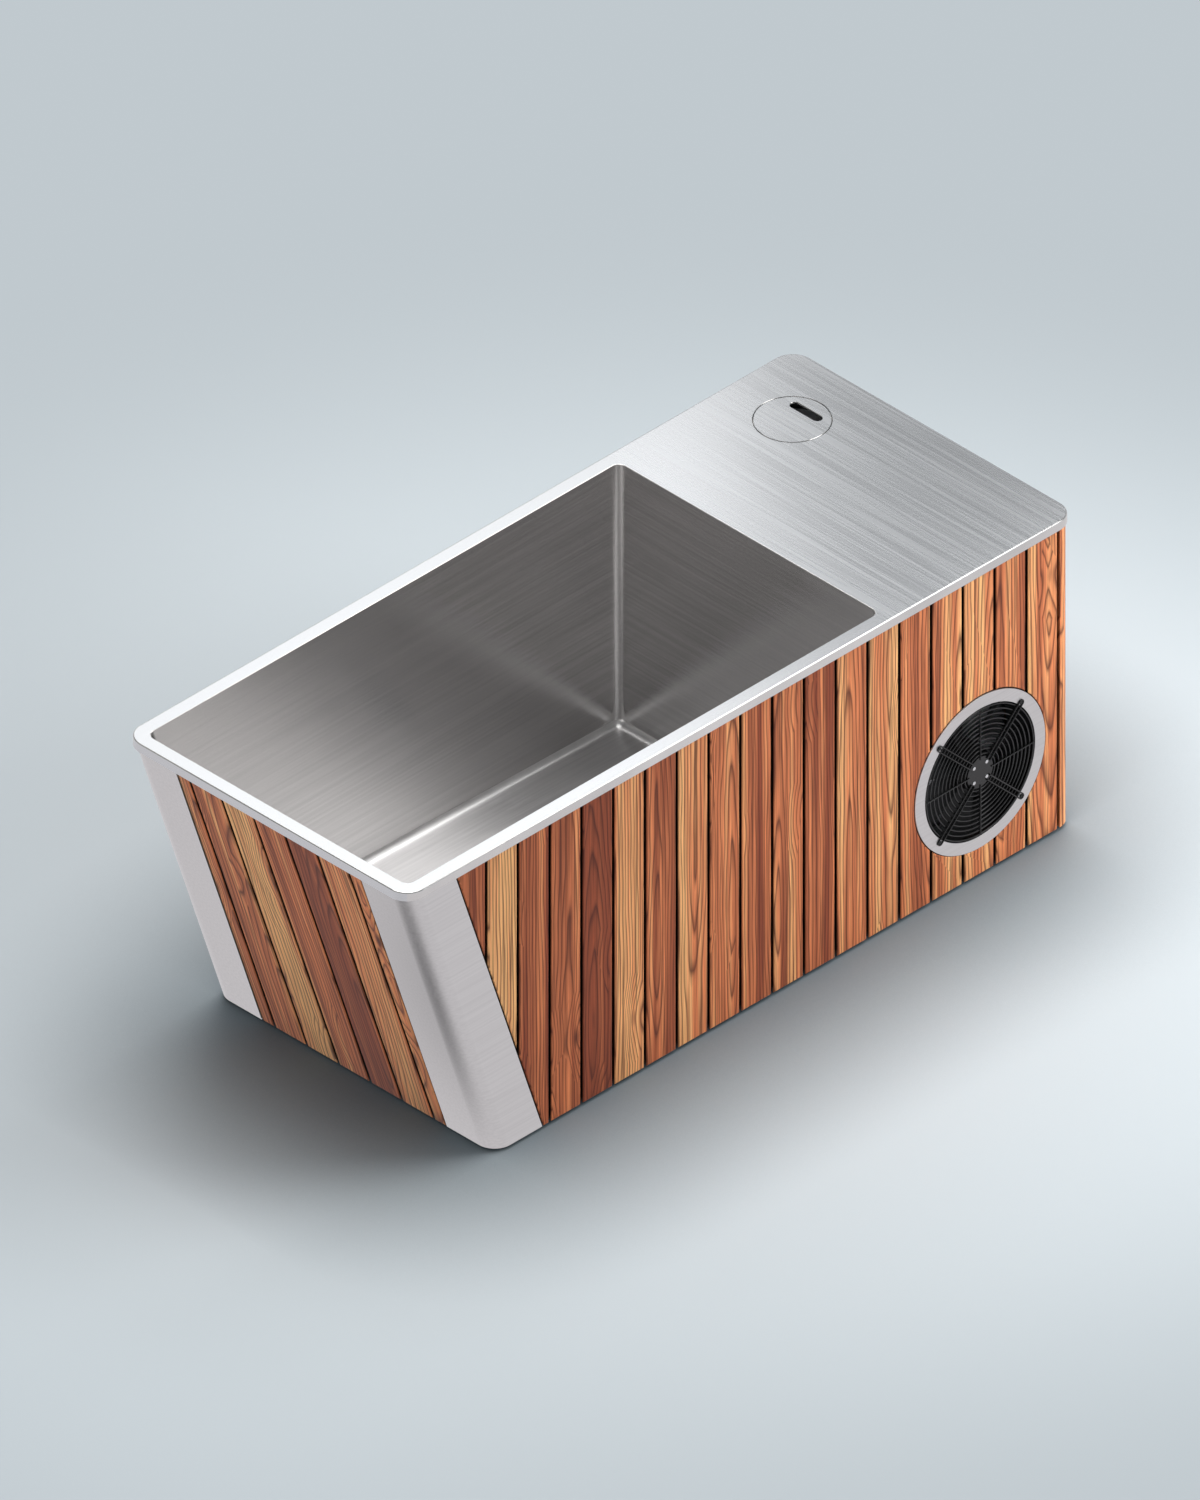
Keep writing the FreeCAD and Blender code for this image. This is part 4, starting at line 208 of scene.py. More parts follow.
class TubColours(bpy.types.PropertyGroup):
    """Colours that a user may change."""
    cedar_dark: bpy.props.FloatVectorProperty(
        name="Dark cedar", description="Heartwood", subtype="COLOR", size=3, default=(0.28, 0.064, 0.026))
    cedar_red: bpy.props.FloatVectorProperty(
        name="Red cedar", description="Middle tone", subtype="COLOR", size=3, default=(0.72, 0.228, 0.09))
    cedar_light: bpy.props.FloatVectorProperty(
        name="Light cedar", description="Sapwood", subtype="COLOR", size=3, default=(0.96, 0.51, 0.21))
    cedar_line: bpy.props.FloatVectorProperty(
        name="Cedar line", description="Dark lines of the grain", subtype="COLOR", size=3,
        default=(0.07, 0.014, 0.007))
    steel: bpy.props.FloatVectorProperty(
        name="Steel", description="Brushed steel", subtype="COLOR", size=3, default=(0.74, 0.725, 0.72))
    # The basin's walls are the covers' steel made darker: painted shade in the basin
    basin: bpy.props.FloatVectorProperty(
        name="Basin steel", description="Brushed steel of the basin's walls", subtype="COLOR", size=3,
        default=(0.68, 0.667, 0.662))
    # The basin's floor is paler than its walls of the same sheet: painted light on the floor
    basin_floor_painted_light: bpy.props.FloatVectorProperty(
        name="Basin floor", description="Brushed steel of the basin's floor", subtype="COLOR", size=3,
        default=(0.82, 0.805, 0.8))
    deck: bpy.props.FloatVectorProperty(
        name="Deck steel", description="Brushed steel of the deck", subtype="COLOR", size=3,
        default=(0.7, 0.71, 0.725))
    stage: bpy.props.FloatVectorProperty(
        name="Floor", description="Studio floor", subtype="COLOR", size=3, default=(0.57, 0.625, 0.655))
    backdrop: bpy.props.FloatVectorProperty(
        name="Backdrop", description="Far floor and studio walls in view", subtype="COLOR", size=3,
        default=(0.53, 0.585, 0.62))
    # Colour of the painted shade on the floor close under the tub
    painted_contact_shade: bpy.props.FloatVectorProperty(
        name="Contact shade", description="Floor close under the tub", subtype="COLOR", size=3,
        default=(0.06, 0.09, 0.11))


def sizes():
    """The user's sizes, as set on the scene."""
    return bpy.context.scene.tub_sizes


def colours():
    """The user's colours, as set on the scene."""
    return bpy.context.scene.tub_colours


# Mesh making

def link_object(name, data):
    """A new object at the origin, put into the scene."""
    thing = bpy.data.objects.new(name, data)
    bpy.context.scene.collection.objects.link(thing)
    return thing


def smooth(mesh, angle):
    """Shade a mesh smooth, with sharp edges past an angle in degrees."""
    mesh.shade_smooth()
    mesh.set_sharp_from_angle(angle=math.radians(angle))


def join_frame(piece, body, replaced=()):
    """Say which body a piece rides on and which nodes it stands for."""
    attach(piece, body)
    if replaced:
        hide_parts(*replaced)


def add_piece(name, shell, coat, replaced=(), body="tub", weighted=True):
    """A piece from a shell in millimetres, its faces turned outwards, in a finish given by name."""
    mesh = bpy.data.meshes.new(name)
    mesh.from_pydata((shell.vertices() * MM).tolist(), [], shell.faces)
    mesh.validate()
    work = bmesh.new()
    work.from_mesh(mesh)
    bmesh.ops.recalc_face_normals(work, faces=work.faces)
    work.to_mesh(mesh)
    work.free()
    smooth(mesh, SHARP_ANGLE)
    mesh.materials.append(finish(coat))
    piece = link_object(name, mesh)
    if weighted:
        normals = piece.modifiers.new("flat_faces_first", "WEIGHTED_NORMAL")
        normals.keep_sharp = True
    join_frame(piece, body, replaced)
    return piece


def add_finish(piece, coat, chosen):
    """Give the chosen faces of a piece one more finish."""
    mesh = piece.data
    mesh.materials.append(finish(coat))
    numbers = np.zeros(len(mesh.polygons), dtype=np.int32)
    mesh.polygons.foreach_get("material_index", numbers)
    numbers[chosen] = len(mesh.materials) - 1
    mesh.polygons.foreach_set("material_index", numbers)


def face_normals(piece):
    """Outward directions of a piece's faces, one row each."""
    normals = np.zeros(len(piece.data.polygons) * 3)
    piece.data.polygons.foreach_get("normal", normals)
    return normals.reshape(-1, 3)


class Shell:
    """Points and faces gathered for one mesh."""

    def __init__(self):
        self.points = []
        self.faces = []
        self.count = 0

    def add(self, points):
        """Add a grid of points and return their numbers in the same grid."""
        points = np.asarray(points, dtype=float)
        rows, columns = points.shape[:2]
        first = self.count
        self.points.append(points.reshape(-1, 3))
        self.count += rows * columns
        return first + np.arange(rows * columns).reshape(rows, columns)

    def loops(self, rings):
        """Closed loops of equal length, joined in order by quads; returns the numbers of the end loops."""
        index = self.add(rings)
        ahead = np.roll(index, -1, axis=1)
        quads = np.stack([index[:-1], ahead[:-1], ahead[1:], index[1:]], axis=-1)
        self.faces.extend(quads.reshape(-1, 4).tolist())
        return index[0].tolist(), index[-1].tolist()

    def closed(self, rings):
        """Joined loops with one flat face inside the first and one inside the last."""
        self.faces.extend(self.loops(rings))

    def plate(self, *loops):
        """A flat face between an outer loop and the loops of its holes, as triangles."""
        everything = self.vertices()
        outlines = [[everything[number].tolist() for number in loop] for loop in loops]
        numbers = [number for loop in loops for number in loop]
        for triangle in tessellate_polygon(outlines):
            self.faces.append([numbers[corner] for corner in triangle])

    def grid(self, points):
        """A grid of points wrapped both ways, such as a ring of wire."""
        index = self.add(points)
        right = np.roll(index, -1, axis=1)
        down = np.roll(index, -1, axis=0)
        corner = np.roll(down, -1, axis=1)
        self.faces.extend(np.stack([index, right, corner, down], axis=-1).reshape(-1, 4).tolist())

    def vertices(self):
        """All the points as one array."""
        return np.concatenate(self.points)


def full_turn(steps):
    """Angles of a whole turn, without the last one."""
    return np.linspace(0, 2 * math.pi, steps, endpoint=False)


def quarter(steps):
    """Angles of a quarter turn."""
    return np.linspace(0, math.pi / 2, steps + 1)


def rounded_loop(x_low, x_high, y_low, y_high, radius, steps=CORNER_STEPS):
    """Rectangle with round corners in plan: each corner's centre plus radius times (cos a, sin a)."""
    angles = np.concatenate([quarter(steps) + number * math.pi / 2 for number in range(4)])
    centre_x = np.repeat([x_high - radius, x_low + radius, x_low + radius, x_high - radius], steps + 1)
    centre_y = np.repeat([y_high - radius, y_high - radius, y_low + radius, y_low + radius], steps + 1)
    return np.stack([centre_x + radius * np.cos(angles), centre_y + radius * np.sin(angles)], axis=-1)


def round_loop(x, y, radius, steps=ROUND_STEPS):
    """Circle in plan: centre plus radius times (cos a, sin a)."""
    angles = full_turn(steps)
    return np.stack([x + radius * np.cos(angles), y + radius * np.sin(angles)], axis=-1)


def arc_points(x, y, radius, start, end):
    """Arc in plan from one angle to another in degrees: centre plus radius times (cos a, sin a)."""
    angles = np.radians(np.linspace(start, end, ARC_STEPS))
    return np.column_stack([x + radius * np.cos(angles), y + radius * np.sin(angles)])


def raised(loop, height):
    """A plan loop at one height, or at a height for each point."""
    return np.column_stack([loop, np.broadcast_to(height, len(loop))])


def inset(outline, depth):
    """Outline moved inwards.

    Each corner goes along the sum of its two edges' normals, divided by one plus their dot product."""
    ahead = np.roll(outline, -1, axis=0) - outline
    ahead /= np.linalg.norm(ahead, axis=1, keepdims=True)
    normal = np.column_stack([-ahead[:, 1], ahead[:, 0]])
    before = np.roll(normal, 1, axis=0)
    share = 1 + np.sum(normal * before, axis=1, keepdims=True)
    return outline + depth * (normal + before) / share


def eased_slab(shell, outline, thickness, ease, seat):
    """Flat board from a counter-clockwise outline: loops from the back round an eased edge to the face.

    seat turns an outline and a depth behind the face into points. Returns each point's place across and
    along the board, and its depth."""
    rings = [seat(inset(outline, ease / 2), thickness)]
    rings += [seat(outline, depth) for depth in (thickness - ease / 2, ease)]
    rings += [seat(inset(outline, ease * inward), ease * behind) for inward, behind, deep in EASED_EDGE]
    shell.closed(rings)
    depths = [thickness, thickness, ease, *(ease * deep for inward, behind, deep in EASED_EDGE)]
    return np.column_stack([np.tile(outline, (len(rings), 1)), np.repeat(depths, len(outline))])


def turned_loops(profile, steps):
    """Profile of (radius, distance) turned about its axis: radius times (cos a, sin a) at each distance."""
    angles = full_turn(steps)
    profile = np.asarray(profile, dtype=float)
    across = profile[:, :1] * np.cos(angles)
    along = profile[:, :1] * np.sin(angles)
    return np.stack([across, along, np.broadcast_to(profile[:, 1:], across.shape)], axis=-1)


def on_fan(points):
    """Points of (across, up, inward) seen on the fan's face, put into the frame."""
    points = np.asarray(points, dtype=float)
    return np.stack([FAN_X + points[..., 0], FACE_Y + points[..., 2], FAN_Z + points[..., 1]], axis=-1)


def wire_loops(path, radius, closed=False):
    """Round wire along a path: each point plus radius times cos b sideways and sin b upwards of its run."""
    path = np.asarray(path, dtype=float)
    if closed:
        along = np.roll(path, -1, axis=0) - np.roll(path, 1, axis=0)
    else:
        along = np.gradient(path, axis=0)
    along /= np.linalg.norm(along, axis=1, keepdims=True)
    up = np.broadcast_to([0.0, 0.0, 1.0], along.shape)
    side = np.cross(along, up)
    side /= np.linalg.norm(side, axis=1, keepdims=True)
    turns = full_turn(WIRE_SIDES)[None, :, None]
    ring = np.cos(turns) * side[:, None, :] + np.sin(turns) * up[:, None, :]
    return path[:, None, :] + radius * ring


# Nodes of materials

def shader_of(paint):
    """A finish's own shader."""
    return paint.node_tree.nodes["Principled BSDF"]


def material(name, colour, metallic=0.0, roughness=0.5, **sockets):
    """A plain finish: its values are set on the shader's own sockets."""
    paint = bpy.data.materials.new(name)
    paint.use_nodes = True
    shader = shader_of(paint)
    shader.inputs["Base Color"].default_value = (*colour, 1)
    shader.inputs["Metallic"].default_value = metallic
    shader.inputs["Roughness"].default_value = roughness
    for socket, value in sockets.items():
        shader.inputs[socket.replace("_", " ")].default_value = value
    return paint


def feed(paint, **sources):
    """Link other nodes' outputs into a finish's shader, by socket."""
    for socket, source in sources.items():
        paint.node_tree.links.new(source, shader_of(paint).inputs[socket.replace("_", " ")])


def add_node(paint, kind, inputs=(), **settings):
    """A node with its settings, and for each socket a value or another node's output."""
    node = paint.node_tree.nodes.new(kind)
    for name, value in settings.items():
        setattr(node, name, value)
    for socket, value in dict(inputs).items():
        if isinstance(value, bpy.types.NodeSocket):
            paint.node_tree.links.new(value, node.inputs[socket])
        else:
            node.inputs[socket].default_value = value
    return node


def maths(paint, operation, *values, **settings):
    """The result of a sum over numbers and other nodes' outputs."""
    return add_node(paint, "ShaderNodeMath", enumerate(values), operation=operation, **settings).outputs[0]


def vector_maths(paint, operation, *values):
    """The result of a sum over vectors: a vector, or a number where the sum gives one."""
    node = add_node(paint, "ShaderNodeVectorMath", enumerate(values), operation=operation)
    return node.outputs["Value" if operation in ("DOT_PRODUCT", "DISTANCE", "LENGTH") else "Vector"]


def map_range(paint, value, span, levels=(0.0, 1.0), **settings):
    """A value carried from a span to levels, and held at their ends."""
    inputs = {
        "Value": value, "From Min": span[0], "From Max": span[1], "To Min": levels[0], "To Max": levels[1],
    }
    return add_node(paint, "ShaderNodeMapRange", inputs, **settings).outputs["Result"]


def mixed(paint, share, first, second):
    """A colour between two, by a share."""
    return add_node(paint, "ShaderNodeMix", {0: share, 6: first, 7: second}, data_type="RGBA").outputs[2]


def ramp(paint, value, first, last, *between):
    """A colour for a value: the first at 0, the last at 1, and the others at their places between."""
    node = add_node(paint, "ShaderNodeValToRGB", {"Fac": value})
    stops = node.color_ramp.elements
    stops[0].color = (*first, 1)
    stops[1].color = (*last, 1)
    for place, colour in between:
        stops.new(place).color = (*colour, 1)
    return node.outputs["Color"]


def either(paint, share, first, second):
    """A shader between two, by a share."""
    inputs = {0: share, 1: first.outputs[0], 2: second.outputs[0]}
    return add_node(paint, "ShaderNodeMixShader", inputs)


# Finishes

# The middle of a noise, where most of its values lie
NOISE_BAND = (0.3, 0.7)
# Brushed lines per metre across and along them, and their height in metres where their tone is 1
LINES_ACROSS = 190.0
LINES_ALONG = 2.6
LINE_DEPTH = 0.00016
# Where the lines fade in, in metres from the X at which they begin
LINE_FADE = (-0.03, 0.01)
# How far a worked finish's roughness swings, as a share of it
ROUGHNESS_SWING = 0.1

# Worked finishes: colour, metallic, roughness, and the noise's features per metre in X, Y and Z
WORKED = {
    "plain_timber": ((0.46, 0.31, 0.18), 0.0, 0.7, (160, 160, 5)),
    "backing": ((0.012, 0.011, 0.011), 0.0, 0.85, (300, 300, 300)),
    "foam": ((0.8, 0.72, 0.45), 0.0, 0.9, (220, 220, 220)),
    "frame": ((0.032, 0.032, 0.034), 0.0, 0.45, (700, 700, 700)),
    "rubber": ((0.02, 0.02, 0.02), 0.0, 0.8, (400, 400, 400)),
    "fasteners": ((0.8, 0.8, 0.81), 1.0, 0.2, (600, 600, 600)),
    "black_wire": ((0.005, 0.005, 0.005), 0.0, 0.2, (500, 500, 500)),
    "black_metal": ((0.006, 0.006, 0.006), 0.0, 0.4, (700, 700, 700)),
    "black_plastic": ((0.006, 0.006, 0.0065), 0.0, 0.5, (900, 900, 900)),
    "rocker": ((0.03, 0.03, 0.033), 0.0, 0.22, (900, 900, 900)),
    "pale_plastic": ((0.74, 0.75, 0.76), 0.0, 0.45, (60, 60, 60)),
    "fitting": ((0.62, 0.62, 0.63), 1.0, 0.28, (40, 40, 600)),
    "paper": ((0.86, 0.87, 0.89), 0.0, 0.9, (350, 350, 350)),
    "fins": ((0.74, 0.75, 0.77), 1.0, 0.4, (12, 500, 12)),
    "copper": ((0.74, 0.38, 0.21), 1.0, 0.3, (50, 50, 50)),
    "brass": ((0.74, 0.55, 0.23), 1.0, 0.28, (350, 60, 60)),
    # Paler, smoother steel on the rim's bend and the openings' edges; on the deck's side skirts its paler
    # colour is painted light
    "edge_steel": ((0.8, 0.785, 0.77), 1.0, 0.2, (3, 3, 3)),
    # Paler, rougher steel on the basin's floor fillet: its pale colour is a painted highlight along the seam
    "fillet_highlight_steel": ((0.93, 0.92, 0.91), 1.0, 0.45, (6, 6, 6)),
}
FINISHES = {}


def brushed_finishes():
    """Brushed finishes: colour, brushing direction, roughness, strength of the lines, where they begin."""
    palette = colours()
    return {
        "deck_steel": (palette.deck, (0, 1, 0), 0.27, 0.045, POOL_REAR * MM),
        # Walls in a darker steel and floor in a paler one than the covers: painted shade and painted light
        # in the basin
        "wall_steel": (palette.basin, (1, 0, 0), 0.22, 0.065),
        "cross_steel": (palette.basin, (0, 1, 0), 0.22, 0.065),
        "floor_steel": (palette.basin_floor_painted_light, (1, 0, 0), 0.45, 0.05),
        "cover_steel": (palette.steel, (1, 0, 0), 0.36, 0.05),
    }


def finish(name):
    """A finish by name, made once."""
    if name not in FINISHES:
        brushed = brushed_finishes()
        if name == "cedar":
            FINISHES[name] = cedar()
        elif name in brushed:
            FINISHES[name] = brushed_steel(name, *brushed[name])
        else:
            FINISHES[name] = worked(name, *WORKED[name])
    return FINISHES[name]


def worked(
        name, colour, metallic, roughness, grain, tone=0.1, depth=0.0001, detail=3.0, lined_from=None,
        **sockets):
    """A finish whose tone, roughness and height follow one noise.

    grain is the noise's features per metre in X, Y and Z, tone the share by which it changes the colour, and
    depth its height in metres. Where lined_from is given, the noise fades out in front of that X."""
    paint = material(name, colour, metallic, roughness, **sockets)
    place = add_node(paint, "ShaderNodeTexCoord").outputs["Object"]
    stretched = vector_maths(paint, "MULTIPLY", place, grain)
    inputs = {"Vector": stretched, "Scale": 1.0, "Detail": detail, "Roughness": 0.65}
    noise = add_node(paint, "ShaderNodeTexNoise", inputs).outputs["Fac"]
    level = map_range(paint, noise, NOISE_BAND, (-1.0, 1.0))
    if lined_from is not None:
        along = add_node(paint, "ShaderNodeSeparateXYZ", {0: place}).outputs["X"]
        fade = map_range(paint, along, [lined_from + distance for distance in LINE_FADE])
        level = maths(paint, "MULTIPLY", level, fade)
    shade = maths(paint, "MULTIPLY_ADD", level, tone, 1 - tone)
    bump = add_node(paint, "ShaderNodeBump", {"Height": level, "Strength": 0.25, "Distance": depth})
    feed(
        paint, Base_Color=vector_maths(paint, "MULTIPLY", tuple(colour), shade),
        Roughness=maths(paint, "MULTIPLY_ADD", level, ROUGHNESS_SWING * roughness, roughness),
        Normal=bump.outputs["Normal"])
    return paint


def brushed_steel(name, colour, brush, roughness, tone, lined_from=None):
    """Steel with fine lines along a brushing direction, whose highlights spread across the lines."""
    grain = [LINES_ALONG if amount else LINES_ACROSS for amount in brush]
    paint = worked(
        name, colour, 1.0, roughness, grain, tone, tone * LINE_DEPTH, 1.0, lined_from, Anisotropic=0.7)
    normal = add_node(paint, "ShaderNodeNewGeometry").outputs["Normal"]
    feed(paint, Tangent=vector_maths(paint, "CROSS_PRODUCT", normal, brush))
    return paint


# Cedar's features per metre across, along and into a board
KNOT_CELLS = (14.0, 5.0, 0.0)
RING_WAVES = (16.0, 2.2, 16.0)
STREAKS = (44.0, 0.8, 44.0)
VEINS = (170.0, 2.4, 170.0)
FIBRES = (620.0, 8.0, 620.0)
# Growth rings per metre, and how far in metres waves and knots push them
RINGS = 115.0
RING_WARP = 0.03
# Darkness of the late wood through one ring, as place and level, and at the ring's start and end
LATE_WOOD = ((0.5, 0.26), (0.78, 1.0), (0.9, 0.3))
RING_START, RING_END = 0.05, 0.1
# Cells whose random value passes the chance hold a knot, whose dark and swirl fade over these distances
KNOT_CHANCE = 0.72
KNOT_SPAN = (0.05, 0.16)
SWIRL_SPAN = (0.0, 0.55)
# How strongly streaks, ring lines, knots, veins and fibres show
STREAK_TONES = (-0.42, 0.42)
LINE_SHARE = 0.86
KNOT_SHARE = 0.85
VEIN_SPAN = (0.54, 0.68)
VEIN_SHARES = (0.0, 0.65)
FIBRE_TONES = (0.72, 1.26)
# Near black of the painted shade in the joints, on each board's side faces and the deep part of its eased
# edge
JOINT_SHADE_COLOUR = (0.006, 0.003, 0.002, 1)


def cedar():
    """Oiled cedar: growth rings about the board's heart, warped by noise and round knots, over its tone,
    with painted shade in the joints.
    """
    palette = colours()
    line = (*palette.cedar_line, 1)
    wood = material("cedar", palette.cedar_light, roughness=0.5, Specular_IOR_Level=0.2)

    def attribute(name, output):
        return add_node(wood, "ShaderNodeAttribute", attribute_name=name).outputs[output]

    grain = attribute("grain", "Vector")

    def scaled(per_metre):
        return vector_maths(wood, "MULTIPLY", grain, per_metre)

    def noise(per_metre, detail=2.0):
        inputs = {"Vector": scaled(per_metre), "Scale": 1.0, "Detail": detail}
        return add_node(wood, "ShaderNodeTexNoise", inputs).outputs["Fac"]

    def grey(level):
        return level, level, level

    cells = add_node(wood, "ShaderNodeTexVoronoi", {"Vector": scaled(KNOT_CELLS), "Scale": 1.0}).outputs
    chance = add_node(wood, "ShaderNodeSeparateColor", {"Color": cells["Color"]}).outputs[0]
    chosen = maths(wood, "GREATER_THAN", chance, KNOT_CHANCE)
    knot, swirl = (
        maths(wood, "MULTIPLY", map_range(wood, cells["Distance"], span, (1.0, 0.0)), chosen)
        for span in (KNOT_SPAN, SWIRL_SPAN))
    radius = vector_maths(wood, "LENGTH", attribute("heart", "Vector"))
    warped = maths(wood, "MULTIPLY_ADD", noise(RING_WAVES), RING_WARP, radius)
    warped = maths(wood, "MULTIPLY_ADD", swirl, RING_WARP, warped)
    ring = maths(wood, "FRACT", maths(wood, "MULTIPLY", warped, RINGS))
    late = ramp(
        wood, ring, grey(RING_START), grey(RING_END), *((place, grey(level)) for place, level in LATE_WOOD))
    streak = map_range(wood, noise(STREAKS, 3.0), NOISE_BAND, STREAK_TONES)
    tone = maths(wood, "ADD", attribute("tone", "Fac"), streak)
    body = ramp(wood, tone, palette.cedar_dark, palette.cedar_light, (0.5, palette.cedar_red))
    lined = mixed(wood, maths(wood, "MULTIPLY", late, LINE_SHARE), body, line)
    knotted = mixed(wood, maths(wood, "MULTIPLY", knot, KNOT_SHARE), lined, line)
    veined = mixed(wood, map_range(wood, noise(VEINS, 4.0), VEIN_SPAN, VEIN_SHARES), knotted, line)
    fibre = noise(FIBRES, 3.0)
    shaded = vector_maths(wood, "MULTIPLY", veined, map_range(wood, fibre, NOISE_BAND, FIBRE_TONES))
    bump = add_node(wood, "ShaderNodeBump", {"Height": fibre, "Strength": 0.2, "Distance": 0.0005})
    # The edge attribute mixes in the painted shade of the joints
    feed(
        wood, Base_Color=mixed(wood, attribute("edge", "Fac"), shaded, JOINT_SHADE_COLOUR),
        Normal=bump.outputs["Normal"])
    return wood


# Deck and basin

# A face takes a finish where the share of its direction along an axis passes these
FACES_ACROSS = 0.7
# Basin faces that rise past this take the fillet's painted highlight
HIGHLIGHT_RISE = 0.35
FLOOR_RISE = 0.93


def front_wall(height, inward=0.0):
    """X of the raked face at a height, so far behind it, measured level."""
    return -HALF_LENGTH + (TOP - height) * SLOPE + inward


def floor_height(x):
    """Height of the pool floor, which falls evenly from the front wall to the rear wall."""
    return FLOOR_REAR + FLOOR_FALL * (POOL_REAR - x) / (POOL_REAR - FLOOR_FRONT_X)


def build_deck():
    """Folded deck: a rounded rim carried round the outside, and a flat plate with two eased openings.

    Its faces are made in order: the skirt, the rim's bend, the openings' edges, then the plates."""
    shell = Shell()

    def rim(inward, height):
        x = HALF_LENGTH - inward
        y = HALF_WIDTH - inward
        return raised(rounded_loop(-x, x, -y, y, RIM_CORNER - inward, RIM_STEPS), height)

    def pool(outward, height):
        front = -HALF_LENGTH + RIM_WIDTH - outward
        y = POOL_Y + outward
        loop = rounded_loop(front, POOL_REAR + outward, -y, y, BASIN_CORNER + outward, BASIN_STEPS)
        return raised(loop, height)

    def hatch(outward, height):
        return raised(round_loop(LID_X, LID_Y, LID_HOLE + outward), height)

    bend = quarter(BEND_STEPS)
    rings = [
        rim(DECK_SHEET, UNDER_DECK), rim(DECK_SHEET, SKIRT_LOW + SKIRT_BREAK),
        rim(DECK_SHEET - SKIRT_BREAK, SKIRT_LOW), rim(SKIRT_BREAK, SKIRT_LOW),
        rim(0, SKIRT_LOW + SKIRT_BREAK),
    ]
    rings += [
        rim(RIM_ROUND * (1 - math.cos(angle)), TOP - RIM_ROUND * (1 - math.sin(angle))) for angle in bend
    ]
    under, top = shell.loops(rings)
    skirt = (len(rings) - len(bend)) * len(top)
    lip = [
        pool(POOL_ROUND * (1 - math.sin(angle)), TOP - POOL_ROUND * (1 - math.cos(angle))) for angle in bend
    ]
    pool_top, pool_low = shell.loops([*lip, pool(0, UNDER_DECK)])
    hatch_top, hatch_low = shell.loops(
        [hatch(HATCH_EASE, TOP), hatch(0, TOP - HATCH_EASE), hatch(0, UNDER_DECK)])
    bends = len(shell.faces)
    shell.plate(top, pool_top, hatch_top)
    shell.plate(under, pool_low, hatch_low)
    piece = add_piece("deck", shell, "deck_steel", ["top_deck"])
    number = np.arange(len(shell.faces))
    # The skirts that face across take the paler edge steel, unlike the front and rear skirts of the same
    # sheet: painted light on them
    painted_light_sides = np.abs(face_normals(piece)[:, 1]) > FACES_ACROSS
    add_finish(piece, "edge_steel", ((number >= skirt) | painted_light_sides) & (number < bends))


def upright_loop(grow, height):
    """Loop of the basin at a height: a rounded rectangle that ends at the raked wall, grown outwards."""
    front = front_wall(height, RIM_WIDTH - grow / LEAN)
    y = POOL_Y + grow
    return raised(rounded_loop(front, POOL_REAR + grow, -y, y, BASIN_CORNER + grow, BASIN_STEPS), height)


def sole_loop(grow, inward, lift, front_inward, front_lift):
    """Loop of the basin where it rounds into the floor: a rounded rectangle drawn in from the walls.

    It lies above the floor by lift, which eases to front_lift round the front corners."""
    front = front_wall(FLOOR_REAR + FLOOR_FALL - grow, RIM_WIDTH - grow / LEAN) + front_inward
    y = POOL_Y + grow - inward
    radius = max(BASIN_CORNER + grow - inward, LEAST_RADIUS)
    loop = rounded_loop(front, POOL_REAR + grow - inward, -y, y, radius, BASIN_STEPS)
    rear = np.zeros(BASIN_STEPS + 1)
    towards = np.linspace(0, 1, BASIN_STEPS + 1)
    share = np.concatenate([rear, towards, towards[::-1], rear])
    return raised(loop, floor_height(loop[:, 0]) - grow + lift + (front_lift - lift) * share)


def basin_rings(grow):
    """Loops of the basin from its top to its floor: upright walls, then a quarter round into the floor.

    The round meets the raked wall in an arc that starts at the rake, tangent to wall and floor."""
    radius = BASIN_CORNER + grow
    tangent = radius / math.tan((math.pi / 2 + RAKE) / 2)
    rings = [upright_loop(grow, UNDER_DECK)]
    for side, front in zip(quarter(CORNER_STEPS), np.linspace(RAKE, math.pi / 2, CORNER_STEPS + 1)):
        rings.append(sole_loop(
            grow, radius * (1 - math.cos(side)), radius * (1 - math.sin(side)),
            tangent - radius * math.cos(front), radius * (1 - math.sin(front))))
    return rings


def build_basin():
    """Welded basin: the outer and inner loops of basin_rings, joined at the top, with holes for fittings."""
    shell = Shell()
    outer_floor, inner_floor = shell.loops([*reversed(basin_rings(BASIN_SHEET)), *basin_rings(0)])
    inner_holes = []
    outer_holes = []
    for x, y in FITTINGS:
        loop = round_loop(x, y, STEM_HOLE, HOLE_STEPS)
        height = floor_height(loop[:, 0])
        low, high = shell.loops([raised(loop, height - BASIN_SHEET), raised(loop, height)])
        outer_holes.append(low)
        inner_holes.append(high)
    shell.plate(inner_floor, *inner_holes)
    shell.plate(outer_floor, *outer_holes)
    piece = add_piece("basin_shell", shell, "wall_steel", ["basin"])
    normals = face_normals(piece)
    add_finish(piece, "cross_steel", np.abs(normals[:, 0]) > FACES_ACROSS)
    # Painted highlight: the fillet round the floor takes a paler steel
    add_finish(piece, "fillet_highlight_steel", normals[:, 2] > HIGHLIGHT_RISE)
    add_finish(piece, "floor_steel", normals[:, 2] > FLOOR_RISE)


# Cladding

def board_run(low, high, joints):
    """Boards between the joints of a run, as (left, right, bottom, top)."""
    cuts = sorted(joint for joint in joints if low < joint < high)
    lefts = [low, *(cut + BOARD_GAP / 2 for cut in cuts)]
    rights = [*(cut - BOARD_GAP / 2 for cut in cuts), high]
    return [
        (left, right, BODY_LOW, BODY_TOP) for left, right in zip(lefts, rights) if right - left > LEAST_BOARD
    ]


def board_outline(board):
    """A whole board's outline, counter-clockwise from its lower left corner."""
    left, right, bottom, top = board
    return np.array([(left, bottom), (right, bottom), (right, top), (left, top)])


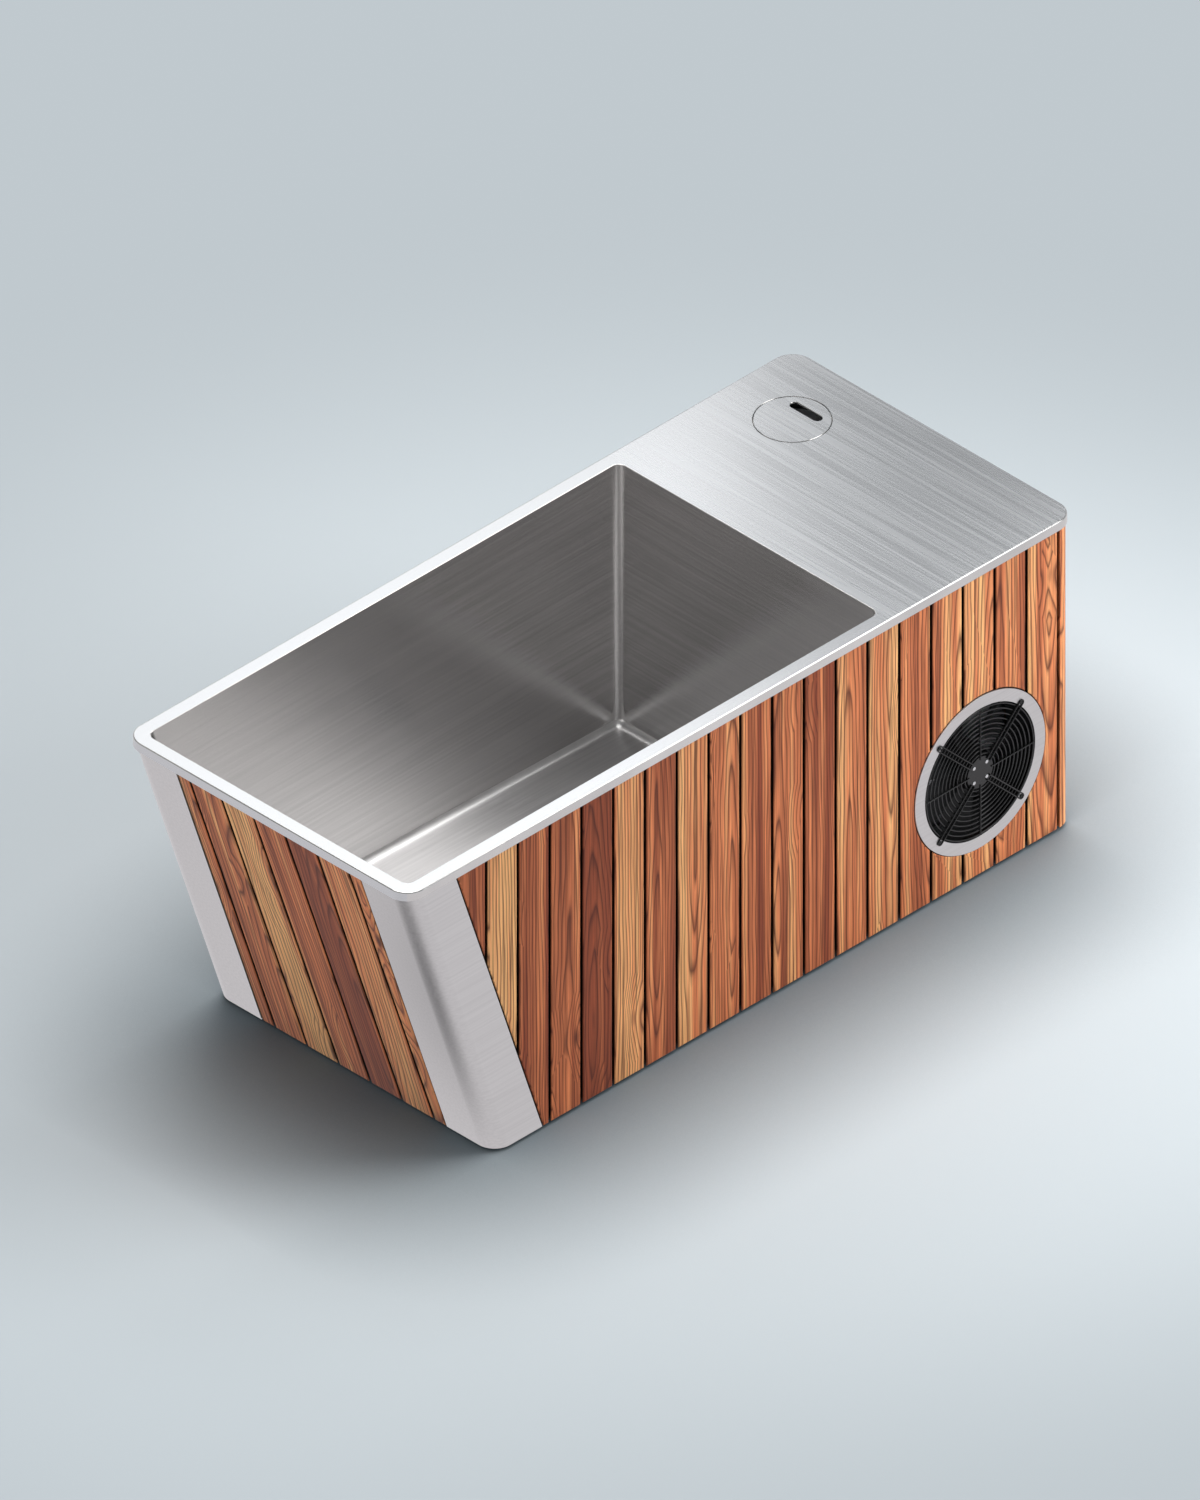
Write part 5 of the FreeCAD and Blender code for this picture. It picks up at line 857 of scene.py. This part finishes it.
def opened(board, span, edge):
    """Outlines of a board after an opening over a span, whose two edges are a function of the place."""
    left, right, bottom, top = board
    start, end = max(left, span[0]), min(right, span[1])
    if end - start < LEAST_CUT:
        return [board_outline(board)]
    places = np.linspace(start, end, ARC_STEPS)
    below, above = edge(places)
    lower = np.column_stack([places, below])
    upper = np.column_stack([places, above])
    foot = [(left, bottom), (right, bottom)]
    head = [(right, top), (left, top)]
    if start == left and end == right:
        return [np.array([*foot, *lower[::-1]]), np.array([*upper, *head])]
    if start == left:
        return [np.array([*foot, *head, *upper, *lower[::-1]])]
    return [np.array([*foot, *lower[::-1], *upper, *head])]


def tidy_outline(outline):
    """The outline without points that lie on the next one."""
    step = np.linalg.norm(np.roll(outline, -1, axis=0) - outline, axis=1)
    return outline[step > SAME_POINT]


def raked_outline(board):
    """A side board cut off by the slanting edge that runs beside a corner cover."""
    left, right, bottom, top = board
    lead = COVER_LEG + COVER_GAP
    foot = front_wall(bottom, lead)
    head = front_wall(top, lead)

    def height_at(x):
        return TOP - (x + HALF_LENGTH - lead) / SLOPE

    if left >= foot:
        return board_outline(board)
    outline = [(foot, bottom), (right, bottom)] if foot < right else [(right, height_at(right))]
    outline.append((right, top))
    outline += [(left, top), (left, height_at(left))] if left > head else [(head, top)]
    return np.array(outline)


def circle_edge(radius):
    """Lower and upper edge of the fan's round opening at a place along the wall."""
    def edge(places):
        rise = np.sqrt(np.maximum(radius ** 2 - (places - FAN_X) ** 2, 0))
        return FAN_Z - rise, FAN_Z + rise
    return edge


def flat_edge(low, high):
    """Lower and upper edge of a square opening."""
    def edge(places):
        return np.full(len(places), low), np.full(len(places), high)
    return edge


def side_seat(sign):
    """Seat of an outline of (x, z) on a side wall."""
    def seat(outline, depth):
        across = np.full(len(outline), sign * (SKIN_Y - depth))
        return np.column_stack([outline[:, 0], across, outline[:, 1]])
    return seat


def front_seat(outline, depth):
    """Seat of an outline of (y, z) on the raked front end."""
    return np.column_stack([front_wall(outline[:, 1], depth / LEAN), outline[:, 0], outline[:, 1]])


def rear_seat(outline, depth):
    """Seat of an outline of (y, z) on the rear wall."""
    return np.column_stack([np.full(len(outline), SKIN_X - depth), outline[:, 0], outline[:, 1]])


def set_grain(piece, grain, hearts, tones, edges):
    """What the cedar reads at each point: place in the grain, place about the heart, tone, and edge, its
    share of painted joint shade.
    """
    attributes = piece.data.attributes
    for name, values in (("grain", grain), ("heart", hearts)):
        attributes.new(name, "FLOAT_VECTOR", "POINT").data.foreach_set("vector", np.ravel(values))
    for name, values in (("tone", tones), ("edge", edges)):
        attributes.new(name, "FLOAT", "POINT").data.foreach_set("value", values)


def build_boards(name, groups, seat, node, draw):
    """One wall of cedar boards: eased slabs, each with its own tone, place in the grain and heart, and
    painted shade in its joints.
    """
    shell = Shell()
    grains = []
    hearts = []
    tones = []
    edges = []
    ease = sizes().board_ease / MM
    for outlines in groups:
        tone = draw.choice(BOARD_TONES) + draw.uniform(-TONE_SPREAD, TONE_SPREAD)
        shift = draw.uniform(-GRAIN_SHIFT, GRAIN_SHIFT, 3)
        middle = np.mean([outlines[0][:, 0].min(), outlines[0][:, 0].max()])
        heart = (middle + draw.normal(0, HEART_SPREAD), draw.uniform(BODY_LOW, BODY_TOP), -HEART_DEPTH)
        lean = (1, draw.uniform(*HEART_LEAN), 1)
        for outline in outlines:
            grain = eased_slab(shell, tidy_outline(outline), BOARD_THICKNESS, ease, seat)
            grains.append(grain * MM + shift)
            hearts.append((grain - heart) * lean * MM)
            tones.append(np.full(len(grain), tone))
            # Painted shade: the side faces and the deep part of the eased edge darken towards near black,
            # standing in for the shade in the joints
            edges.append(np.clip(grain[:, 2] / ease, 0, 1) ** JOINT_SHADE_POWER)
    piece = add_piece(name, shell, "cedar", [node])
    set_grain(piece, *map(np.concatenate, (grains, hearts, tones, edges)))


def build_cladding():
    """Boards on all four walls: runs cut at even joints, with openings for the fan, vent and recess."""
    draw = np.random.default_rng(WOOD_SEED)
    run = ARC_X - BOARD_GAP / 2
    joints = [run - BOARD_PITCH * step for step in range(1, SIDE_JOINTS + 1)]
    boards = board_run(front_wall(BODY_TOP, COVER_LEG + COVER_GAP), ARC_X - BOARD_GAP, joints)
    hole = RING_RADIUS + RING_ROOM
    for side, sign in (("right", -1), ("left", 1)):
        groups = []
        for board in boards:
            if board[0] > 0 and sign < 0:
                groups.append(opened(board, (FAN_X - hole, FAN_X + hole), circle_edge(hole)))
            else:
                groups.append([raked_outline(board)])
        build_boards(f"cedar_{side}", groups, side_seat(sign), f"side_boards_{side}", draw)
    half = SKIN_Y - COVER_LEG - COVER_GAP
    joints = [sign * (step + 0.5) * BOARD_PITCH for step in range(END_JOINTS) for sign in (1, -1)]
    groups = [[board_outline(board)] for board in board_run(-half, half, joints)]
    build_boards("cedar_front", groups, front_seat, "front_boards", draw)
    half = ARC_Y - BOARD_GAP
    groups = []
    for board in board_run(-half, half, joints):
        left, right, low, high = VENT_HOLE if board[0] < 0 else RECESS_HOLE
        groups.append(opened(board, (left, right), flat_edge(low, high)))
    build_boards("cedar_rear", groups, rear_seat, "rear_boards", draw)


def build_fan_bore():
    """Cedar lining of the fan's bore, behind the trim ring: a rectangle turned about the fan's axis, painted
    near black as shade.
    """
    front = RING_THICKNESS + LINING_FRONT
    back = BOARD_THICKNESS + LINING_BACK
    outside = RING_RADIUS + LINING_ROOM
    section = [(FAN_RADIUS, back), (outside, back), (outside, front), (FAN_RADIUS, front)]
    shell = Shell()
    shell.grid(on_fan(turned_loops(section, ROUND_STEPS)))
    piece = add_piece("fan_bore", shell, "cedar")
    grain = shell.vertices() * MM
    # The whole lining takes the full painted joint shade: painted shade inside the bore, over its tone
    set_grain(piece, grain, grain, np.full(shell.count, LINING_TONE), np.ones(shell.count))


def build_rear_posts():
    """Rounded cedar posts at the rear corners: a quarter round with a rebate, carried up."""
    shell = Shell()
    arc = arc_points(ARC_X, ARC_Y, BODY_CORNER, 0, 90)
    outline = np.concatenate([arc, [(ARC_X, TANK_Y), (BAY_REAR, TANK_Y), (BAY_REAR, ARC_Y)]])
    levels = (
        (BODY_LOW, POST_EASE), (BODY_LOW + POST_EASE, 0), (BODY_TOP - POST_EASE, 0), (BODY_TOP, POST_EASE))
    for sign in (1, -1):
        shell.closed([raised(inset(outline, amount) * (1, sign), height) for height, amount in levels])
    piece = add_piece("cedar_posts", shell, "cedar", ["rear_corner_posts"])
    grain = (shell.vertices() * MM)[:, [0, 2, 1]]
    hearts = grain * (1, HEART_LEAN[0], 1)
    set_grain(piece, grain, hearts, np.full(shell.count, POST_TONE), np.zeros(shell.count))


# Covers and lid

def cover_section(ease, sign):
    """A corner cover's section in plan, from the raked face: two legs and a bend, drawn in by the ease."""
    centre = (COVER_CORNER, COVER_CORNER - SKIN_Y)
    reach = COVER_LEG - ease
    loop = np.concatenate([
        [(ease, reach - SKIN_Y)],
        arc_points(*centre, COVER_CORNER - ease, 180, 270),
        [(reach, ease - SKIN_Y), (reach, COVER_SHEET - ease - SKIN_Y)],
        arc_points(*centre, COVER_CORNER - COVER_SHEET + ease, 270, 180),
        [(COVER_SHEET - ease, reach - SKIN_Y)],
    ])
    return loop * (1, -sign)


def build_covers():
    """Raked corner covers: a bent sheet's section, carried down the rake."""
    ease = sizes().sheet_ease / MM
    levels = ((BODY_TOP, ease), (BODY_TOP - ease, 0), (BODY_LOW + ease, 0), (BODY_LOW, ease))
    for side, sign in (("right", -1), ("left", 1)):
        shell = Shell()
        shell.closed([
            raised(cover_section(amount, sign) + (front_wall(height), 0), height)
            for height, amount in levels
        ])
        add_piece(f"cover_{side}", shell, "cover_steel", [f"corner_cover_{side}"])


def build_lid():
    """Flush lid: a disc with a broken edge, cut by a slot with round ends."""
    shell = Shell()

    def disc(inward, height):
        return raised(round_loop(LID_X, LID_Y, LID_RADIUS - inward), height)

    def slot(outward, height):
        half = SLOT_WIDTH / 2 + outward
        reach = SLOT_LENGTH / 2 + outward
        x = LID_X + SLOT_SHIFT
        loop = rounded_loop(x - half, x + half, LID_Y - reach, LID_Y + reach, half - SLOT_FLAT)
        return raised(loop, height)

    ease = LID_EASE
    low = TOP - LID_THICKNESS
    under, top = shell.loops([disc(ease, low), disc(0, low + ease), disc(0, TOP - ease), disc(ease, TOP)])
    slot_top, slot_low = shell.loops([slot(ease, TOP), slot(0, TOP - ease), slot(0, low)])
    edges = len(shell.faces)
    shell.plate(top, slot_top)
    shell.plate(under, slot_low)
    piece = add_piece("lid", shell, "deck_steel", ["access_lid"], body="lid")
    add_finish(piece, "edge_steel", np.arange(len(shell.faces)) < edges)


# Fan front

def build_trim_ring():
    """Trim ring: a flat section with eased edges, turned about the fan's axis."""
    profile = [
        (FAN_RADIUS, RING_THICKNESS), (FAN_RADIUS, RING_EASE / 2), (FAN_RADIUS + RING_EASE / 2, 0),
        (RING_RADIUS - RING_EASE, 0), (RING_RADIUS - RING_EASE_MIDDLE, RING_EASE_MIDDLE),
        (RING_RADIUS, RING_EASE), (RING_RADIUS, RING_THICKNESS),
    ]
    shell = Shell()
    shell.grid(on_fan(turned_loops(profile, RING_STEPS)))
    add_piece("ring", shell, "cover_steel", ["fan_trim_ring"])


def build_guard():
    """Wire guard: rings, thin cross wires and hairpin arms as wire along paths, and a turned hub plate."""
    shell = Shell()
    circle = full_turn(WIRE_STEPS)
    radii = FIRST_RING + RING_PITCH * np.arange(RING_COUNT)
    for radius in radii:
        path = np.column_stack([radius * np.cos(circle), radius * np.sin(circle), np.full(WIRE_STEPS, WIRE)])
        shell.grid(on_fan(wire_loops(path, WIRE, closed=True)))

    def lay_wire(angle, along, sideways, radius):
        way = np.array([math.cos(angle), math.sin(angle)])
        square = np.array([way[1], -way[0]])
        path = raised(np.outer(along, way) + np.outer(sideways, square), -radius)
        shell.closed(on_fan(wire_loops(path, radius)))

    for angle in CROSS_ANGLES:
        lay_wire(angle, [ARM_START, radii[-1]], [0, 0], THIN_WIRE)
    turn = np.linspace(0, math.pi, HAIRPIN_STEPS)
    half = ARM_SPACING / 2
    along = np.concatenate([[ARM_START], ARM_REACH + half * np.sin(turn), [ARM_START]])
    sideways = np.concatenate([[half], half * np.cos(turn), [-half]])
    for angle in ARM_ANGLES:
        lay_wire(angle, along, sideways, WIRE)
    hub = [
        (HUB_EASE, 0), (HUB_RADIUS - HUB_EASE, 0), (HUB_RADIUS, HUB_EASE), (HUB_RADIUS, HUB_PLATE),
        (HUB_EASE, HUB_PLATE),
    ]
    shell.closed(on_fan(turned_loops(hub, HUB_STEPS)))
    add_piece("guard", shell, "black_wire", ["fan_guard"], weighted=False)


def build_guard_screws():
    """Screws at the arms' ends and rivets on the hub: a short wall and a quarter of an ellipse, turned.

    The screws come first and are black, and the rivets are bright."""
    shell = Shell()
    rise = quarter(DOME_STEPS)[1:]
    for (radius, height), circle in ((SCREW, ARM_REACH), (RIVET, RIVET_CIRCLE)):
        across = radius * np.cos(rise) + LEAST_RADIUS
        outward = -height * (DOME_WALL + (1 - DOME_WALL) * np.sin(rise))
        dome = [(radius, 0), (radius, -DOME_WALL * height), *zip(across, outward)]
        for angle in ARM_ANGLES:
            middle = (circle * math.cos(angle), circle * math.sin(angle), 0)
            shell.closed(on_fan(turned_loops(dome, SCREW_STEPS) + middle))
    piece = add_piece("guard_screws", shell, "fasteners", ["guard_fasteners"], weighted=False)
    many = len(shell.faces)
    add_finish(piece, "black_wire", np.arange(many) < many // 2)


# Other nodes

# Nodes that the pieces above stand for
REBUILT = {
    "top_deck", "basin", "side_boards_right", "side_boards_left", "front_boards", "rear_boards",
    "corner_cover_right", "corner_cover_left", "rear_corner_posts", "access_lid", "fan_trim_ring",
    "fan_guard", "guard_fasteners",
}
# Steel nodes that are brushed, and how
STEEL_LINES = {
    "rear_vent": "cross_steel", "service_recess": "cross_steel", "equipment_tray": "cross_steel",
    "control_plate": "wall_steel", "heat_exchanger": "cross_steel",
}


def smooth_copies():
    """Every other node: a merged copy of its mesh, smooth up to an angle, in the finish of its slot."""
    slots = {entry["node"]: entry["material_slot"] for entry in frame["record"]["subparts"]}
    bodies = frame["record"]["behaviour"]["bodies"]
    body_of = {node: body for body, nodes in bodies.items() for node in nodes}
    for name, node in frame["nodes"].items():
        if name in REBUILT:
            continue
        mesh = node.data.copy()
        work = bmesh.new()
        work.from_mesh(mesh)
        bmesh.ops.remove_doubles(work, verts=work.verts, dist=NODE_MERGE * MM)
        work.to_mesh(mesh)
        work.free()
        smooth(mesh, NODE_ANGLE)
        mesh.materials.clear()
        mesh.materials.append(finish(STEEL_LINES.get(name, slots[name])))
        join_frame(link_object(f"{name}_smooth", mesh), body_of[name], [name])


# Stage, in metres

FLOOR_REACH = 14.0
# How far the painted shade round the tub reaches on the floor's colour and how sharply it falls, and where
# the floor fades to the backdrop
CONTACT_REACH = 0.5
CONTACT_POWER = 1.6
FADE = (1.2, 2.6)
# The floor as metal sees it: a colour, and a soft painted shade in front of the near corner
MIRRORED_COLOUR = (0.97, 0.95, 0.98, 1)
SHADE_MIDDLE = (-1.15, -0.35, 0)
SHADE_REACH = (0.1, 0.5)
SHADE_STRENGTH = (0.2, 0.79)
# Studio walls: their colour, the way to the bright ones, how far round they are bright, and their strength
WALL_COLOUR = (0.96, 0.98, 1.0, 1)
BRIGHT_WAY = (0.7, 0.1, 0.7)
BRIGHT_SPAN = (-0.1, 0.9)
WALL_STRENGTH = (0.09, 0.36)
# Rise of a ray over which metal stops seeing the backdrop and sees the walls
BACKDROP_RISE = (0.2, 0.5)
# Name, place, aim, width, watts, spread in degrees and whether metal mirrors the lamp
LAMPS = (
    ("rear_panel_light", (0.95, 1.7, 2.5), (-0.4, 0, 0.7), 1.7, 11, 180, True),
    ("right_panel_light", (2.0, -2.0, 2.5), (0.2, -0.1, 0.7), 1.6, 17.5, 180, True),
    ("pool_light", (1.35, 0.1, 2.5), (-0.3, 0.2, 0.2), 1.2, 16, 180, True),
    ("lip_light", (-1.9, 2.2, 2.6), (0.4, 0, 0.72), 1.0, 2, 180, True),
    ("top", (-0.2, 0.6, 4.8), (0, 0, 0), 3.2, 105, 180, True),
    ("side", (3.2, -2.7, 1.6), (0.2, -0.3, 0.35), 2.8, 78, 120, False),
    ("front", (-3.6, -0.7, 1.5), (-0.7, 0, 0.35), 1.8, 19, 120, False),
)
# An isometric view from the front corner, aimed a little above the tub's middle
VIEW_AIM = (0, 0, 0.43)
VIEW_AZIMUTH = math.radians(45)
VIEW_RISE = math.asin(math.tan(math.radians(30)))
VIEW_DISTANCE = 6
VIEW_END = 60


def build_floor():
    """Pale floor, darkened close to the tub by painted shade, that fades to the backdrop and that metal sees
    as lit all round.

    Metal sees a soft painted shade in front of the near corner."""
    palette = colours()
    paint = material("studio_floor", palette.stage, roughness=0.9, Specular_IOR_Level=0.1)
    place = add_node(paint, "ShaderNodeTexCoord").outputs["Object"]

    def by_distance(centre, reach, levels):
        away = vector_maths(paint, "DISTANCE", place, centre)
        return map_range(paint, away, reach, levels, interpolation_type="SMOOTHSTEP")

    # Painted shade: the floor's colour darkens where the tub hides its sky, over the real shadows
    open_share = add_node(paint, "ShaderNodeAmbientOcclusion", {"Distance": CONTACT_REACH}).outputs["AO"]
    clear = maths(paint, "POWER", open_share, CONTACT_POWER)
    feed(paint, Base_Color=mixed(paint, clear, (*palette.painted_contact_shade, 1), (*palette.stage, 1)))
    rays = add_node(paint, "ShaderNodeLightPath").outputs
    far = maths(paint, "MULTIPLY", by_distance((0, 0, 0), FADE, (0, 1)), rays["Is Camera Ray"])
    backdrop = add_node(paint, "ShaderNodeEmission", {"Color": (*palette.backdrop, 1)})
    faded = either(paint, far, shader_of(paint), backdrop)
    # Painted shade seen only in metal: the floor's glow for mirrored rays is dimmer in front of the near
    # corner
    level = by_distance(SHADE_MIDDLE, SHADE_REACH, SHADE_STRENGTH)
    mirrored = add_node(paint, "ShaderNodeEmission", {"Color": MIRRORED_COLOUR, "Strength": level})
    both = either(paint, rays["Is Glossy Ray"], faded, mirrored)
    paint.node_tree.links.new(both.outputs[0], paint.node_tree.nodes["Material Output"].inputs["Surface"])
    mesh = bpy.data.meshes.new("studio_floor")
    corners = [(-1, -1), (1, -1), (1, 1), (-1, 1)]
    mesh.from_pydata([(x * FLOOR_REACH, y * FLOOR_REACH, 0) for x, y in corners], [], [(0, 1, 2, 3)])
    mesh.materials.append(paint)
    link_object("studio_floor", mesh)


def build_world():
    """Studio walls: brighter towards the chiller end and above, dim towards the front.

    The camera sees the plain backdrop instead, and so does metal, low above the floor."""
    world = bpy.data.worlds.new("studio")
    world.use_nodes = True
    way = add_node(world, "ShaderNodeTexCoord").outputs["Generated"]
    towards = vector_maths(world, "DOT_PRODUCT", way, BRIGHT_WAY)
    walls = world.node_tree.nodes["Background"]
    walls.inputs["Color"].default_value = WALL_COLOUR
    strength = map_range(world, towards, BRIGHT_SPAN, WALL_STRENGTH)
    world.node_tree.links.new(strength, walls.inputs["Strength"])
    backdrop = add_node(world, "ShaderNodeBackground", {"Color": (*colours().backdrop, 1)})
    rise = add_node(world, "ShaderNodeSeparateXYZ", {0: way}).outputs["Z"]
    low = map_range(world, rise, BACKDROP_RISE, (1.0, 0.0), interpolation_type="SMOOTHSTEP")
    rays = add_node(world, "ShaderNodeLightPath").outputs
    shown = maths(world, "MULTIPLY_ADD", rays["Is Glossy Ray"], low, rays["Is Camera Ray"], use_clamp=True)
    both = either(world, shown, walls, backdrop)
    world.node_tree.links.new(both.outputs[0], world.node_tree.nodes["World Output"].inputs["Surface"])
    bpy.context.scene.world = world


def point_at(thing, place, aim):
    """Put a lamp or camera at a place, looking at a point."""
    thing.location = place
    thing.rotation_euler = (Vector(aim) - Vector(place)).to_track_quat("-Z", "Y").to_euler()


def build_lamps():
    """Soft square lamps, each aimed at a point."""
    for name, place, aim, width, watts, spread, mirrored in LAMPS:
        lamp = bpy.data.lights.new(name, "AREA")
        lamp.shape = "SQUARE"
        lamp.size = width
        lamp.energy = watts
        lamp.spread = math.radians(spread)
        light = link_object(name, lamp)
        light.visible_glossy = mirrored
        point_at(light, place, aim)


def build_camera():
    """A parallel view from the front corner."""
    lens = bpy.data.cameras.new("view")
    lens.type = "ORTHO"
    lens.ortho_scale = sizes().camera_height
    lens.clip_end = VIEW_END
    camera = link_object("view", lens)
    away = np.array([-math.cos(VIEW_AZIMUTH), -math.sin(VIEW_AZIMUTH), math.tan(VIEW_RISE)]) * VIEW_DISTANCE
    point_at(camera, VIEW_AIM + away, VIEW_AIM)
    bpy.context.scene.camera = camera


# Operators

class TUB_OT_stage(bpy.types.Operator):
    """Make the floor, the lights and the camera"""
    bl_idname = "tub.stage"
    bl_label = "Stage"

    def execute(self, context):
        context.scene.view_settings.view_transform = "Standard"
        build_floor()
        build_world()
        build_lamps()
        build_camera()
        return {"FINISHED"}


class TUB_OT_deck(bpy.types.Operator):
    """Make the folded deck"""
    bl_idname = "tub.deck"
    bl_label = "Deck"

    def execute(self, context):
        build_deck()
        return {"FINISHED"}


class TUB_OT_basin(bpy.types.Operator):
    """Make the basin"""
    bl_idname = "tub.basin"
    bl_label = "Basin"

    def execute(self, context):
        build_basin()
        return {"FINISHED"}


class TUB_OT_cladding(bpy.types.Operator):
    """Make the cedar boards, the lining of the fan's bore and the rear posts"""
    bl_idname = "tub.cladding"
    bl_label = "Cladding"

    def execute(self, context):
        build_cladding()
        build_fan_bore()
        build_rear_posts()
        return {"FINISHED"}


class TUB_OT_covers(bpy.types.Operator):
    """Make the raked corner covers"""
    bl_idname = "tub.covers"
    bl_label = "Corner covers"

    def execute(self, context):
        build_covers()
        return {"FINISHED"}


class TUB_OT_lid(bpy.types.Operator):
    """Make the access lid"""
    bl_idname = "tub.lid"
    bl_label = "Access lid"

    def execute(self, context):
        build_lid()
        return {"FINISHED"}


class TUB_OT_fan_front(bpy.types.Operator):
    """Make the fan's ring, guard and screws"""
    bl_idname = "tub.fan_front"
    bl_label = "Fan front"

    def execute(self, context):
        build_trim_ring()
        build_guard()
        build_guard_screws()
        return {"FINISHED"}


class TUB_OT_workings(bpy.types.Operator):
    """Dress the frame, the chiller, the pump, the pipes and the service recess"""
    bl_idname = "tub.workings"
    bl_label = "Workings"

    def execute(self, context):
        smooth_copies()
        return {"FINISHED"}


OPERATORS = (
    TUB_OT_stage, TUB_OT_deck, TUB_OT_basin, TUB_OT_cladding, TUB_OT_covers, TUB_OT_lid, TUB_OT_fan_front,
    TUB_OT_workings,
)


class TUB_PT_panel(bpy.types.Panel):
    """The tub's settings and steps"""
    bl_idname = "TUB_PT_panel"
    bl_label = "Cold plunge tub"
    bl_space_type = "VIEW_3D"
    bl_region_type = "UI"
    bl_category = "Tub"

    def draw(self, context):
        for group in (context.scene.tub_sizes, context.scene.tub_colours):
            for name in group.__annotations__:
                self.layout.prop(group, name)
        for operator in OPERATORS:
            self.layout.operator(operator.bl_idname)


CLASSES = (TubSizes, TubColours, *OPERATORS, TUB_PT_panel)


def register():
    """Register the classes and the scene's settings."""
    for kind in CLASSES:
        bpy.utils.register_class(kind)
    bpy.types.Scene.tub_sizes = bpy.props.PointerProperty(type=TubSizes)
    bpy.types.Scene.tub_colours = bpy.props.PointerProperty(type=TubColours)


def unregister():
    """Remove the classes and the scene's settings."""
    del bpy.types.Scene.tub_colours
    del bpy.types.Scene.tub_sizes
    for kind in reversed(CLASSES):
        bpy.utils.unregister_class(kind)


def main():
    """Run every step in order."""
    register()
    bpy.ops.tub.stage()
    bpy.ops.tub.deck()
    bpy.ops.tub.basin()
    bpy.ops.tub.cladding()
    bpy.ops.tub.covers()
    bpy.ops.tub.lid()
    bpy.ops.tub.fan_front()
    bpy.ops.tub.workings()


if __name__ == "__main__":
    main()
